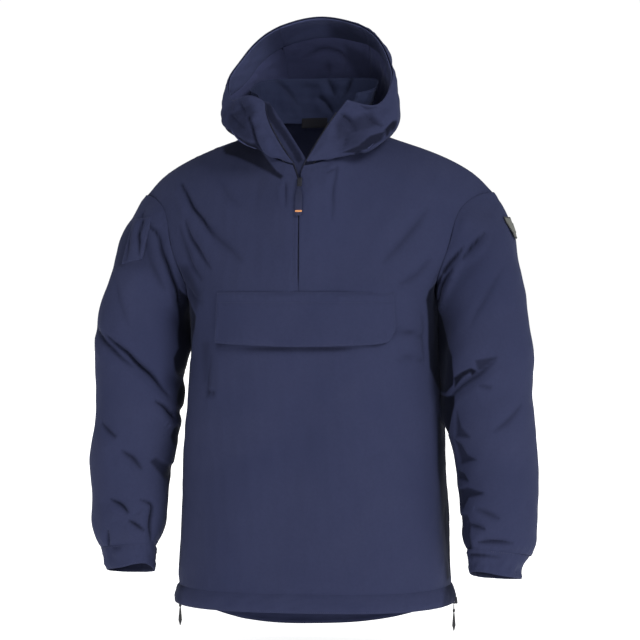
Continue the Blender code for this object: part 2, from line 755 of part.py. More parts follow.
def laid(tree, grid, ray, lift, away):
    """A grid dropped along a ray onto a surface, then lifted off it."""
    ray = Vector(ray).normalized()
    result = np.array(grid, float)
    for index in np.ndindex(result.shape[:-1]):
        start = Vector(result[index]) - ray
        hit = tree.ray_cast(start, ray)[0]
        off = lift[index] if np.ndim(lift) else lift
        direction = unit(np.array(away(hit), float))
        result[index] = np.array(hit) + direction * off
    return result


def panel_directions(grid, away):
    """The lift direction at each of a grid's points."""
    return unit(np.array([[away(point) for point in row] for row in grid], float))


# ---------------------------------------------------------------- pieces


def build_body(garment):
    """Front with its half-zip slit, back, and their hem bands."""
    panels = {}
    for face, name, below, above, columns in (
        (-1, "front", 10, 13, 14),
        (1, "back", 9, 12, 12),
    ):
        halves = [half_panel(face, side, below, above, columns) for side in (1, -1)]
        halves = [folded(half, BODY_FOLDS, (0, 0, -0.3)) for half in halves]
        facings = [outward(half, (0, 0, -0.3), halved=True) for half in halves]
        for half, facing in zip(halves, facings):
            seam = np.abs(half[-1, :, 0]) > NECK_WIDTH
            facing[-1, seam, 1] = 0.0
            facing[-1] = unit(facing[-1])
        panels[name] = garment.wall(
            name, halves, "shell", WALL, from_axis(), facings=facings
        )
        shares = np.linspace(1 - (BAND - SEAM_CUT) / (ARMPIT - HEM), 1, 3)
        bands = []
        for side in (1, -1):
            rows = [
                trimmed(
                    lower_row(face, side, share, BAND_PROUD * ramp(k, 0, 1)),
                    columns,
                    SIDE_ZIP_GAP,
                )
                for k, share in enumerate(shares)
            ]
            bands.append(np.array(rows) * np.array([side, 1, 1]))
        garment.wall(f"hem_{name}", bands, "shell", WALL, from_axis())
    return panels


def build_sleeves(garment):
    """Two sleeves from armhole to cuff, with their cuffs."""
    angles = np.arange(26) * 360 / 26
    rows = np.linspace(0, 1, 24) ** 1.08
    sleeves = {}
    for side, name in ((1, "left"), (-1, "right")):
        grid = sleeve_grid(RINGS, rows, angles, side, scoop_rows=0.10)
        grid[0, :, 0] += side * SLEEVE_CUT
        grid = folded(grid, SLEEVE_FOLDS, (side * 0.285, -0.01, -0.4), closed=True)
        outside = from_axis(side * 0.29, -0.01)
        sleeves[side] = garment.wall(
            f"sleeve_{name}", grid, "shell", WALL, outside, closed=True
        )
        cuff = sleeve_grid(CUFF, np.linspace(0, 1, 3), angles, side)
        garment.wall(f"cuff_{name}", cuff, "shell", WALL, outside, closed=True)
    return sleeves


def rested(grid, tree, depths):
    """The hood's points kept a little above the shoulders they roll over."""
    result = grid.copy()
    for r, c in np.ndindex(grid.shape[:2]):
        start = Vector((grid[r, c, 0], grid[r, c, 1], 1.0))
        hit = tree.ray_cast(start, Vector((0, 0, -1)))[0]
        if hit is None:
            continue
        clear = HOOD_CLEAR
        if depths[c] > 0.95:
            clear = SEAM_CLEAR_BEHIND if grid[r, c, 1] > 0.02 else SEAM_CLEAR_BESIDE
        result[r, c, 2] = max(grid[r, c, 2], hit.z + clear)
    return result


def build_hood(garment, panels):
    """Three-piece hood, its brim facing and the lining that shows."""
    cut = 0.0025
    side_places = np.linspace(HOOD_STRIP + cut, 1, 14)
    strip_places = np.linspace(-HOOD_STRIP, HOOD_STRIP, 7)
    places = np.concatenate([-side_places[::-1], strip_places, side_places])
    whole = rested(
        hood_grid(places, HOOD_DEPTHS), surface_of(*panels.values()), HOOD_DEPTHS
    )
    facing = outward(whole, (0, 0.0, 0.08))
    outside = from_axis()
    count = len(side_places)
    for name, part in (
        ("hood_right", slice(0, count)),
        ("hood_centre", slice(count, count + 7)),
        ("hood_left", slice(count + 7, None)),
    ):
        garment.wall(
            name, whole[part], "shell", WALL, outside, facings=[facing[part]]
        )
    lined = np.abs(places) <= LINED_TO
    inner = whole - facing * (WALL + LINING_GAP)
    split = FACING_COLUMNS - 1
    bands = {
        "hood_facing": (0, FACING_COLUMNS, split, -0.02),
        "hood_lining": (split, LINING_COLUMNS, 0, 0.03),
    }
    for name, (first, last, column, nudge) in bands.items():
        grid = inner[lined, first:last].copy()
        other = 1 if nudge > 0 else column - 1
        grid[:, column] += abs(nudge) * (grid[:, other] - grid[:, column])
        garment.wall(
            name, grid, "lining", THIN, outside, facings=[facing[lined, first:last]]
        )


def build_collar(garment):
    """The stand collar inside the hood, and the bare label at its back."""
    grid = collar_grid(25, 4)
    facing = outward(grid, (0, -0.02, 0.08))
    outside = from_axis(0, -0.02)
    garment.wall("collar", grid, "lining", THIN, outside, facings=[facing])
    middle = slice(9, 16)
    low = grid[0, middle] - facing[0, middle] * (THIN + GAP)
    down = unit(grid[0, middle] - grid[1, middle])
    across = np.linspace(*LABEL_X, 5)
    order = np.argsort(low[:, 0])
    rows = []
    for drop in LABEL_DROP:
        line = low - down * drop
        rows.append(
            np.stack([np.interp(across, line[order, 0], line[order, k]) for k in range(3)], 1)
        )
        rows[-1][:, 0] = across
    garment.wall("neck_label", np.array(rows), "label", TAPE, outside)


def tape_line(side):
    """Rows of points beside the zip's edge, from its bottom to the chin."""
    top = top_edge(-1, side)
    climbs = np.linspace(0, 1, 400)
    heights = ARMPIT + (NECK_FRONT[1] - ARMPIT) * climb_share(climbs)
    rows = []
    for height in (-0.228, -0.190, -0.150, -0.110, -0.080, -0.062, -0.048, -0.038):
        row = upper_row(-1, side, float(np.interp(height, heights, climbs)), top)
        row[:, 0] *= side
        gap = opening(height, side)
        start = -min(gap - 3 * GAP, TAPE_SHOWS) if gap else 2 * GAP
        rows.append(at_distances(row, (start, TAPE_WIDTH / 2, TAPE_WIDTH)))
    places = np.linspace(1, 0.93, 6)
    for depth in (0.96, 0.82, 0.66, 0.50, 0.34, 0.18, 0.02):
        row = np.array([hood_column(side * place, [depth], side)[0] for place in places])
        rows.append(at_distances(row, (-TAPE_SHOWS, TAPE_WIDTH / 2, TAPE_WIDTH)))
    return np.array(rows)


def build_front_zip(garment, panels):
    """Tapes behind the slit, the guard behind them, slider and puller."""
    outside = from_axis(0, 0)
    for side, name in ((1, "left"), (-1, "right")):
        line = tape_line(side)
        facing = outward(line, (0, 0, -0.05))
        facing[:6, :, 0] = 0.0
        facing = unit(facing)
        tuck = 3 * GAP + TAPE_TUCK * np.exp(-(((line[:, :1, 2:] + 0.03) / 0.02) ** 2))
        grid = line - facing * (WALL + tuck)
        garment.wall(
            f"zip_tape_{name}", grid, "zip", TAPE, outside, facings=[facing]
        )
        if side > 0:
            continue
        hidden = grid[:, 1] - facing[:, 1] * (TAPE + 2 * GAP)
        edge = table(GUARD_EDGE, "height", "x", "y")
        rows = []
        for point in hidden:
            height = float(np.clip(point[2], edge[0, 0], edge[-1, 0]))
            free = np.array(
                [
                    np.interp(height, edge[:, 0], edge[:, 1]),
                    np.interp(height, edge[:, 0], edge[:, 2]),
                    max(point[2], -0.215),
                ]
            )
            start = np.array([point[0], point[1], max(point[2], -0.215)])
            rows.append([start, (start + free) / 2, free])
        rows = np.array(rows)[1:]
        garment.wall("zip_guard", rows, "lining", THIN, outside)
    tree = surface_of(panels["front"])
    half, out = SLIDER_SIZE[0] / 2, SLIDER_SIZE[1]
    rings = []
    for height in np.linspace(*SLIDER_Z, 3):
        spot = Vector((half + 0.002, -1.0, height))
        y = tree.ray_cast(spot, Vector((0, 1, 0)))[0].y - LAID
        rings.append(
            [(-half, y, height), (half, y, height), (half * 0.8, y - out, height), (-half * 0.8, y - out, height)]
        )
    garment.column("zip_slider", rings, "metal")
    lean = math.radians(5.6)
    rings = []
    for part in FRONT_PULL:
        x, y, z = FRONT_PIVOT
        y, z = y - part.down * math.sin(lean), z - part.down * math.cos(lean)
        w, d = part.half_width, part.half_depth
        rings.append([(x - w, y + d, z), (x + w, y + d, z), (x + w, y - d, z), (x - w, y - d, z)])
    garment.column("zip_puller", rings, "zip")


def build_flap(garment, panels):
    """The wide pocket flap across the chest, standing off at its lower edge."""
    tree = surface_of(panels["front"])
    rows, columns = 5, 17
    share = np.linspace(0, 1, rows)[:, None]
    across = np.linspace(-1, 1, columns)[None, :]
    x = FLAP_X[0] + (FLAP_X[1] - FLAP_X[0]) * (across + 1) / 2 + 0 * share
    low = FLAP_Z[0] - FLAP_SAG * (1 - across**2)
    corner = np.clip((x - (FLAP_X[1] - FLAP_CORNER)) / FLAP_CORNER, 0, 1)
    low = low + FLAP_CORNER * corner
    z = FLAP_Z[1] + (low - FLAP_Z[1]) * share
    grid = np.stack([x, np.zeros_like(x), z], axis=2)

    def away(point):
        return 0.8 * point[0], -0.147, 0

    lift = LAID + FLAP_WALL + FLAP_STAND_OFF * np.broadcast_to(share**1.6, x.shape)
    grid = laid(tree, grid, (0, 1, 0), lift, away)
    garment.wall(
        "pocket_flap", grid, "shell", FLAP_WALL, from_axis(),
        facings=[panel_directions(grid, away)],
    )


def build_sleeve_patches(garment, sleeves):
    """The zipped pocket on the wearer's right sleeve, the badge on the left."""
    corners = np.array(SLEEVE_POCKET)
    down = np.linspace(0, 1, 6)[:, None, None]
    across = np.linspace(0, 1, 7)[None, :, None]
    flat = (
        corners[0] * (1 - down) * (1 - across)
        + corners[1] * (1 - down) * across
        + corners[2] * down * across
        + corners[3] * down * (1 - across)
    )
    grid = np.stack([flat[..., 0], 0 * flat[..., 0], flat[..., 1]], axis=2)

    def from_sleeve(point):
        return point[0] + 0.262, point[1] - 0.004, 0.02

    grid = laid(surface_of(sleeves[-1]), grid, (0, 1, 0), LAID + POCKET_LIFT, from_sleeve)
    garment.wall(
        "sleeve_pocket", grid, "shell", POCKET_WALL, from_axis(-0.27),
        facings=[panel_directions(grid, from_sleeve)],
    )
    y, z = np.meshgrid(np.linspace(*BADGE_Y, 7), np.linspace(*BADGE_Z, 5))
    middle = sum(BADGE_Y) / 2
    y = middle + (y - middle) * np.array([0.72, 1, 1, 1, 0.72])[:, None]
    grid = np.stack([0 * y, y, z], axis=2)

    def from_arm(point):
        return 1.0, 6 * (point[1] - 0.020), 0.35

    grid = laid(surface_of(sleeves[1]), grid, (-1, 0, 0), BADGE_LIFT, from_arm)
    garment.wall(
        "arm_badge", grid, "patch", TAPE, from_axis(0.25, 0.02),
        facings=[panel_directions(grid, from_arm)],
    )


def build_side_zips(garment):
    """A zip behind each side seam, its slider at the hem and its hanging pull."""
    drops = np.linspace(1 - BAND / (ARMPIT - HEM), 0, 10)
    heights = [lower_row(1, 1, drop)[-1, 2] for drop in drops]
    drops = [drop for drop, z in zip(drops, heights) if z < SIDE_ZIP_TOP][::-1] + [0.999]
    for side, name in ((1, "left"), (-1, "right")):
        rows = []
        for k, drop in enumerate(drops):
            proud = BAND_PROUD if k == len(drops) - 1 else 0.0
            x, y, z = lower_row(1, side, drop, proud)[-1]
            x = side * (x - WALL - 2 * GAP)
            rows.append([(x, y + a, z) for a in np.array([-0.5, 0.5]) * SIDE_ZIP_WIDTH])
        grid = np.array(rows)
        facing = np.broadcast_to(np.array([side, 0.0, 0.0]), grid.shape)
        garment.wall(
            f"side_zip_{name}", grid, "zip", TAPE, from_axis(), facings=[facing]
        )
        edge = lower_row(1, side, 1.0, BAND_PROUD)[-1]
        out, wide, high = SIDE_SLIDER
        drop, tuck = SLIDER_LIP
        x, z = edge[0] + GAP, edge[2] - 3 * GAP
        rings = [
            [
                (side * inner, SIDE_Y - wide / 2, level),
                (side * inner, SIDE_Y + wide / 2, level),
                (side * outer, SIDE_Y + wide * 0.35, level),
                (side * outer, SIDE_Y - wide * 0.35, level),
            ]
            for inner, outer, level in (
                (x - SLIDER_LEAN, x + out - SLIDER_LEAN, z + high),
                (x, x + out, z),
                (x - tuck, x + out, z - GAP),
                (x - tuck, x + out, z - drop),
            )
        ]
        garment.column(f"side_slider_{name}", rings, "metal")
        rings = []
        for part in SIDE_PULL:
            x, y, z = SIDE_PIVOT
            w, d = part.half_width, part.half_depth
            z -= part.down
            rings.append(
                [(side * (x + a * w), y + b * d, z) for a, b in ((-1, -1), (1, -1), (1, 1), (-1, 1))]
            )
        garment.column(f"side_pull_{name}", rings, "zip")


def main():
    garment = Garment(start_scene())
    panels = build_body(garment)
    sleeves = build_sleeves(garment)
    build_hood(garment, panels)
    build_collar(garment)
    build_front_zip(garment, panels)
    build_flap(garment, panels)
    build_sleeve_patches(garment, sleeves)
    build_side_zips(garment)


main()
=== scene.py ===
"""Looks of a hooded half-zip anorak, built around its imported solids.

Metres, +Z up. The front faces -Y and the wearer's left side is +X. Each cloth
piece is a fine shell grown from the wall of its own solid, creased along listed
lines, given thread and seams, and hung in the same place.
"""

import logging
import math
from dataclasses import dataclass, field, fields
from enum import Enum
from typing import Optional, Sequence

import bmesh
import bpy
import numpy as np
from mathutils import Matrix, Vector
from mathutils.bvhtree import BVHTree
from mathutils.kdtree import KDTree

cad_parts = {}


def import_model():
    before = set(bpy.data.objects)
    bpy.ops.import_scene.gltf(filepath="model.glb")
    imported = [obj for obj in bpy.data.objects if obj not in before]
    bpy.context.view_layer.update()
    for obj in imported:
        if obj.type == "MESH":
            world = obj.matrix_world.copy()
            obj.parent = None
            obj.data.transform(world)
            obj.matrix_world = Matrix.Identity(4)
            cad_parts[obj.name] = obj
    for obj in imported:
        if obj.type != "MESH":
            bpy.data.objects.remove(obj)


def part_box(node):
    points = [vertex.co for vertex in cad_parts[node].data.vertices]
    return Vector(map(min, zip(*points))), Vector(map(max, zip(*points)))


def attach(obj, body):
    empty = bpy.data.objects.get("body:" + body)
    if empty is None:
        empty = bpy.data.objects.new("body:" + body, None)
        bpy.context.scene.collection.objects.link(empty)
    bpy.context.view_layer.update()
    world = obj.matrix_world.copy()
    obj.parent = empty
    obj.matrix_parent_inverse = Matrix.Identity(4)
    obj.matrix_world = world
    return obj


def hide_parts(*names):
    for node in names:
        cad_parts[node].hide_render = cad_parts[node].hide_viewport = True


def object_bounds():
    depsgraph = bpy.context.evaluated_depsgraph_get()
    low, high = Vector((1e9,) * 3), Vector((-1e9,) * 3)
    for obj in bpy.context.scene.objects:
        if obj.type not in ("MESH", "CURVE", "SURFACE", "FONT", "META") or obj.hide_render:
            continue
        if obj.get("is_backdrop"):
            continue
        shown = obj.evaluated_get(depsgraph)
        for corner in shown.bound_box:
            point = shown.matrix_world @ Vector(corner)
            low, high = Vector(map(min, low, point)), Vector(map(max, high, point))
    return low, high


log = logging.getLogger("anorak")

Array = np.ndarray
Point = tuple[float, float, float]
Spot = tuple[float, float]  # x and z, or y and z on the wearer's sides
Colour = tuple[float, float, float]

BODY = "garment"

# The wall of a solid
WELD = 1e-5  # joins the loose triangles of a solid
SHARP = math.radians(50)  # a wall ends where its surface turns more than this
WALL_SHARE = 0.07  # of a solid's skin: less is the wall's edge
QUAD_TURN = math.radians(38)  # two triangles this flat make one quad
QUAD_SKEW = math.radians(70)
TURNED_EDGE = ((0.55, 0.12), (0.92, 0.45), (1.0, 1.0))  # shares of its reach and of its sink, step by step

# A crease's line
RAY_START = 0.6  # rays that drop a seam or crease on a panel start this far out
LINE_STEP = 0.004
LINE_POINTS = 6  # at the least
LINE_SMOOTHINGS = 3
STRAYS = ((0.021, 1.0), (0.009, 0.6))  # its sideways waves: length, share of the wobble

# A crease's section, in shares of its width and depth
SECTION_REACH = 4.5  # nothing further off is pressed
TROUGH_WIDTH, TROUGH_DEPTH = 0.62, 0.66  # its sharp bottom
CORE_WIDTH, CORE_DEPTH = 0.30, 0.44  # and the narrow line where its two sides meet
RIDGE_AWAY = 1.9
SHADE_TINT_WIDTH = 0.34  # where shade is painted in
FULL_DEPTH = 0.0036  # a crease this deep has all of its painted shade
CREASE_DEPTH = 1.5  # how deep the creases lie, against their own figures
TURNED_AWAY = -0.35  # cloth that faces further from a crease's side isn't pressed

# Near a piece's open edges
STILL_EDGE = 0.0005  # this much of it neither puffs nor waves
PUCKER_START, PUCKER_REACH = 0.004, 0.012
CREASES_WHOLE, STITCHED_WHOLE = 0.010, 0.002  # from here inwards, creases have their whole depth
EDGE_DEPTH = -0.002  # where that depth would come to nothing
SEAM_CLEAR = 0.86  # of its inset: a seam that comes nearer to an edge stops

STITCH_LIFT = 0.00012  # thread stands this far on the cloth
EDGE_TURN = math.radians(25)  # a hard piece's edges past this are rounded
FLAT_TURN = math.radians(3)  # and under this its faces are one face
SHADE_TURN = math.radians(42)  # shading breaks at a hard piece's edges past this
FINE_WAVES = 9  # crumples and puckers are sums of this many waves
SUN_AWAY = 3.0
NODE_GAP = 180  # between shader nodes, left to right
NOISE_MIDDLE = (0.3, 0.7)  # most of a noise's values lie between these


# ------------------------------------------------------------------ choices


class Face(Enum):
    """Which way a spot on the garment faces. A spot is x and z, or y and z on the wearer's sides."""

    FRONT = (0, -1, 0)
    BACK = (0, 1, 0)
    RIGHT = (-1, 0, 0)
    LEFT = (1, 0, 0)

    @property
    def sideways(self) -> bool:
        """Whether its spots are y and z."""
        return self.value[0] != 0


class Trim(Enum):
    """What runs along a row."""

    STITCHES = "stitches"
    TEETH = "teeth"


class Side(Enum):
    """The side of a wall that shows."""

    OUT = 1
    IN = -1


# ----------------------------------------------------------------- finishes


class NodeBench:
    """Adds shader nodes to one material, left to right."""

    def __init__(self, name: str) -> None:
        """Start a material with only its output node.

        Args:
            name: The material's name.
        """
        self.material = bpy.data.materials.new(name)
        self.material.use_nodes = True
        self.tree = self.material.node_tree
        self.tree.nodes.clear()
        self.step = 0

    def add(self, kind: str, **settings: object) -> bpy.types.Node:
        """Add one node.

        Args:
            kind: The node's type name.
            **settings: Properties to set on it.

        Returns:
            The new node.
        """
        node = self.tree.nodes.new(kind)
        node.location = (self.step * NODE_GAP, 0)
        self.step += 1
        for key, value in settings.items():
            setattr(node, key, value)
        return node

    def link(self, source: bpy.types.NodeSocket, target: bpy.types.NodeSocket) -> None:
        """Join two sockets."""
        self.tree.links.new(source, target)

    def math(self, operation: str, first: object, second: object = None) -> bpy.types.NodeSocket:
        """Add a Math node on sockets or numbers.

        Args:
            operation: The Math node's operation.
            first: A socket or a number.
            second: A socket or a number, or nothing.

        Returns:
            The result's socket.
        """
        node = self.add("ShaderNodeMath", operation=operation)
        for socket, value in zip(node.inputs, (first, second)):
            if isinstance(value, bpy.types.NodeSocket):
                self.link(value, socket)
            elif value is not None:
                socket.default_value = value
        return node.outputs[0]

    def noise(self, scale: float, detail: float = 3.0, distortion: float = 0.0) -> bpy.types.NodeSocket:
        """Noise on the object's own coordinates.

        Args:
            scale: Features a metre.
            detail: Octaves.
            distortion: How far the pattern is stirred.

        Returns:
            The noise value's socket.
        """
        where = self.add("ShaderNodeTexCoord")
        node = self.add("ShaderNodeTexNoise")
        node.inputs["Scale"].default_value = scale
        node.inputs["Detail"].default_value = detail
        node.inputs["Distortion"].default_value = distortion
        self.link(where.outputs["Object"], node.inputs["Vector"])
        return node.outputs["Fac"]

    def spread(self, value: bpy.types.NodeSocket, low: float, high: float) -> bpy.types.NodeSocket:
        """Map the middle of a noise to a range.

        Args:
            value: The noise.
            low: What its low end becomes.
            high: What its high end becomes.

        Returns:
            The mapped value's socket.
        """
        node = self.add("ShaderNodeMapRange")
        node.inputs["From Min"].default_value = NOISE_MIDDLE[0]
        node.inputs["From Max"].default_value = NOISE_MIDDLE[1]
        node.inputs["To Min"].default_value = low
        node.inputs["To Max"].default_value = high
        self.link(value, node.inputs["Value"])
        return node.outputs["Result"]

    def blend(self, share: bpy.types.NodeSocket, first: object, second: object) -> bpy.types.NodeSocket:
        """Mix two colours.

        Args:
            share: How much of the second.
            first: A colour or a socket.
            second: A colour or a socket.

        Returns:
            The mixed colour's socket.
        """
        node = self.add("ShaderNodeMix", data_type="RGBA")
        sockets = [s for s in node.inputs if s.type == "RGBA"]
        factor = next(s for s in node.inputs if s.name == "Factor" and s.type == "VALUE")
        self.link(share, factor)
        for socket, value in zip(sockets, (first, second)):
            if isinstance(value, bpy.types.NodeSocket):
                self.link(value, socket)
            else:
                socket.default_value = (*value, 1.0)
        return next(s for s in node.outputs if s.type == "RGBA")

    def bump(self, height: bpy.types.NodeSocket, distance: float, strength: float,
             under: Optional[bpy.types.NodeSocket] = None) -> bpy.types.NodeSocket:
        """Turn a height into a normal.

        Args:
            height: The height, around 0 to 1.
            distance: What a height of 1 stands for, in metres.
            strength: How much of it shows.
            under: A normal that it is laid on.

        Returns:
            The normal's socket.
        """
        node = self.add("ShaderNodeBump")
        node.inputs["Distance"].default_value = distance
        node.inputs["Strength"].default_value = strength
        self.link(height, node.inputs["Height"])
        if under is not None:
            self.link(under, node.inputs["Normal"])
        return node.outputs["Normal"]

    def finish(self, **inputs: object) -> bpy.types.Material:
        """Add the Principled shader and the output.

        Args:
            **inputs: Shader inputs by name, with _ for a space, as sockets or constants.

        Returns:
            The material.
        """
        shader = self.add("ShaderNodeBsdfPrincipled")
        for key, value in inputs.items():
            socket = shader.inputs[key.replace("_", " ")]
            if isinstance(value, bpy.types.NodeSocket):
                self.link(value, socket)
            else:
                socket.default_value = value
        output = self.add("ShaderNodeOutputMaterial")
        self.link(shader.outputs["BSDF"], output.inputs["Surface"])
        return self.material


@dataclass(frozen=True)
class ClothFinish:
    """A plain-woven cloth with a soft, cloudy colour, and shade painted in where a piece asks for it."""

    name: str
    colour: Colour
    worn: Colour  # where the cloth has paled
    thread: float = 0.00046
    weave: float = 0.35
    crinkle: float = 0.00045
    roughness: tuple[float, float] = (0.70, 0.84)
    sheen: float = 0.05
    shade: float = 0.80  # the colour between the threads, as a share of the cloth's
    deep: float = 0.09  # and of the darkest painted shade, at the bottom of a hollow

    def build(self) -> bpy.types.Material:
        """Make the material: weave on the piece's UV map, clouds on its own coordinates.

        Returns:
            The material.
        """
        bench = NodeBench(self.name)
        uv = bench.add("ShaderNodeUVMap", uv_map="cloth")
        split = bench.add("ShaderNodeSeparateXYZ")
        bench.link(uv.outputs["UV"], split.inputs[0])
        turns = math.pi / self.thread
        warp = bench.math("SINE", bench.math("MULTIPLY", split.outputs["X"], turns))
        weft = bench.math("SINE", bench.math("MULTIPLY", split.outputs["Y"], turns))
        weave = bench.math("MULTIPLY_ADD", bench.math("MULTIPLY", warp, weft), 0.5)
        weave.node.inputs[2].default_value = 0.5
        clouds = bench.noise(scale=7.0, detail=4.0, distortion=0.6)
        mottle = bench.noise(scale=240.0, detail=2.0)
        colour = bench.blend(bench.spread(clouds, low=0.0, high=0.75), self.colour, self.worn)
        shade = tuple(c * self.shade for c in self.colour)
        colour = bench.blend(bench.spread(mottle, low=0.0, high=0.30), colour, shade)
        threads = bench.math("MULTIPLY", weave, 0.16)
        colour = bench.blend(threads, colour, shade)
        # Painted shade: a point attribute of the piece darkens the colour where creases, swells and patches
        # put shade.
        painted_shade = bench.add("ShaderNodeAttribute", attribute_name="painted_shade").outputs["Fac"]
        deep = tuple(c * self.deep for c in self.colour)
        colour = bench.blend(painted_shade, colour, deep)
        crinkles = bench.noise(scale=75.0, detail=5.0, distortion=0.4)
        soft = bench.bump(crinkles, distance=self.crinkle, strength=0.55)
        fine = bench.bump(weave, distance=self.thread * 0.3, strength=self.weave, under=soft)
        return bench.finish(
            Base_Color=colour,
            Roughness=bench.spread(bench.noise(scale=38.0), *self.roughness),
            Normal=fine,
            Sheen_Weight=self.sheen,
            Sheen_Roughness=0.45,
            Sheen_Tint=(0.55, 0.62, 0.95, 1.0),
            Specular_IOR_Level=0.03,
        )


@dataclass(frozen=True)
class HardFinish:
    """A moulded or lacquered surface with fine grain, and a band across it if it has one."""

    name: str
    colour: Colour
    roughness: float
    metallic: float = 0.0
    grain: float = 0.00012
    grain_scale: float = 900.0
    specular: float = 0.5
    band: Optional[Colour] = None
    band_z: tuple[float, float] = (0.0, 0.0)
    wear: tuple[float, float] = (1.7, 0.004)  # its worn spots' colour: times this, plus that
    uneven: tuple[float, float] = (0.85, 1.15)  # shares of its roughness

    def build(self) -> bpy.types.Material:
        """Make the material on the piece's own coordinates.

        Returns:
            The material.
        """
        bench = NodeBench(self.name)
        worn = tuple(min(1.0, c * self.wear[0] + self.wear[1]) for c in self.colour)
        patches = bench.noise(scale=60.0, detail=4.0)
        colour = bench.blend(bench.spread(patches, low=0.0, high=0.5), self.colour, worn)
        if self.band is not None:
            where = bench.add("ShaderNodeTexCoord")
            split = bench.add("ShaderNodeSeparateXYZ")
            bench.link(where.outputs["Object"], split.inputs[0])
            above = bench.math("GREATER_THAN", split.outputs["Z"], self.band_z[0])
            below = bench.math("LESS_THAN", split.outputs["Z"], self.band_z[1])
            colour = bench.blend(bench.math("MULTIPLY", above, below), colour, self.band)
        smooth, rough = (min(1.0, self.roughness * share) for share in self.uneven)
        grain = bench.noise(scale=self.grain_scale, detail=2.0)
        return bench.finish(
            Base_Color=colour,
            Roughness=bench.spread(bench.noise(scale=140.0), smooth, rough),
            Metallic=self.metallic,
            Specular_IOR_Level=self.specular,
            Normal=bench.bump(grain, distance=self.grain, strength=0.5),
        )


@dataclass(frozen=True)
class Wardrobe:
    """Every finish of the garment."""

    shell: ClothFinish = ClothFinish("shell_weave", (0.0275, 0.0325, 0.0735), (0.0340, 0.0390, 0.0820))
    # The cuffs' inner side: the shell cloth darkened, painted shade inside the cuffs.
    reverse: ClothFinish = ClothFinish("shell_reverse_shaded", (0.0120, 0.0140, 0.0310), (0.0140, 0.0160, 0.0340))
    # The hood's facing: the shell cloth made lighter, painted light inside the hood.
    facing: ClothFinish = ClothFinish("facing_weave_painted_light", (0.0520, 0.0610, 0.1330), (0.0590, 0.0690, 0.1430))
    collar: ClothFinish = ClothFinish("collar_weave", (0.0195, 0.0245, 0.0560), (0.0230, 0.0290, 0.0620))
    lining: ClothFinish = ClothFinish(
        "lining_weave", (0.0440, 0.0500, 0.1130), (0.0500, 0.0570, 0.1230), thread=0.00034, weave=0.25,
        crinkle=0.0006, sheen=0.12)
    tape: ClothFinish = ClothFinish(
        "zip_tape_weave", (0.0120, 0.0140, 0.0300), (0.0150, 0.0170, 0.0350), thread=0.0007, weave=0.6,
        crinkle=0.0001, roughness=(0.5, 0.62), sheen=0.1)
    label: ClothFinish = ClothFinish(
        "label_weave", (0.0080, 0.0080, 0.0110), (0.0100, 0.0100, 0.0130), thread=0.0003, weave=0.5,
        crinkle=0.0001, roughness=(0.45, 0.6), sheen=0.3)
    thread: HardFinish = HardFinish(
        "sewing_thread", (0.0230, 0.0270, 0.0640), roughness=0.6, grain=0.00005, grain_scale=2500)
    coil: HardFinish = HardFinish("zip_coil", (0.0110, 0.0125, 0.0230), roughness=0.42)
    metal: HardFinish = HardFinish("slider_lacquer", (0.0150, 0.0160, 0.0240), roughness=0.38, metallic=0.5)
    pull: HardFinish = HardFinish(
        "moulded_pull", (0.0150, 0.0180, 0.0440), roughness=0.7, specular=0.15, band=(0.62, 0.27, 0.11),
        band_z=(-0.1068, -0.1040))
    cord: HardFinish = HardFinish("cord_pull", (0.0110, 0.0115, 0.0150), roughness=0.6)
    border: HardFinish = HardFinish(
        "badge_border", (0.0240, 0.0250, 0.0280), roughness=0.55, grain=0.0002, grain_scale=700)
    badge: HardFinish = HardFinish(
        "badge_field", (0.1100, 0.1130, 0.1020), roughness=0.6, grain=0.0002, grain_scale=700)

    def build(self) -> dict[str, bpy.types.Material]:
        """Make every material, by the name of its field."""
        return {finish.name: getattr(self, finish.name).build() for finish in fields(self)}


# ------------------------------------------------------------------ objects


def put(name: str, data: bpy.types.ID) -> bpy.types.Object:
    """Make an object and link it to the scene.

    Args:
        name: Its name.
        data: Its mesh, camera or light.

    Returns:
        The object.
    """
    made = bpy.data.objects.new(name, data)
    bpy.context.scene.collection.objects.link(made)
    return made


def bake(carrier: bpy.types.Object) -> bpy.types.Mesh:
    """Evaluate an object's modifiers.

    Args:
        carrier: The object.

    Returns:
        Its evaluated mesh.
    """
    graph = bpy.context.evaluated_depsgraph_get()
    return bpy.data.meshes.new_from_object(carrier.evaluated_get(graph), depsgraph=graph)


def settle(piece: bpy.types.Object) -> None:
    """Apply an object's modifiers to its own mesh.

    Args:
        piece: The object.
    """
    mesh = bake(piece)
    piece.modifiers.clear()
    mesh.name = piece.name
    piece.data = mesh


# --------------------------------------------------------------------- sums


def unit(vectors: Array) -> Array:
    """Vectors scaled to length 1."""
    return vectors / np.maximum(np.linalg.norm(vectors, axis=-1, keepdims=True), 1e-12)


def ease(value: Array, low: float, high: float) -> Array:
    """0 below low, 1 above high, smooth between."""
    share = np.clip((value - low) / (high - low), 0, 1)
    return share * share * (3 - 2 * share)


def waves(points: Array, length: float, height: float, dice: np.random.RandomState,
          count: int = 7) -> Array:
    """A sum of gentle waves through space.

    Args:
        points: Where it is read.
        length: The waves' usual length, in metres.
        height: The usual height of the sum, in metres.
        dice: Where the waves' directions come from.
        count: How many waves.

    Returns:
        A height for each point.
    """
    total = np.zeros(len(points))
    for _ in range(count):
        direction = unit(dice.normal(size=3))
        reach = length * dice.uniform(0.7, 1.5)
        total += np.sin(points @ direction * (2 * math.pi / reach) + dice.uniform(0, 2 * math.pi))
    return total * height / math.sqrt(count / 2)


def within(points: Array, low: Point, high: Point) -> Array:
    """Whether points are inside a box."""
    return np.all((points > np.array(low)) & (points < np.array(high)), axis=-1)


def nearness(points: Array, centre: Point, radii: Point) -> Array:
    """How near points are to a place: 1 at its centre, falling to nothing past its radii."""
    away = (points - np.array(centre)) / np.array(radii)
    return np.exp(-np.sum(away**2, axis=1))


# ------------------------------------------------------------------ creases


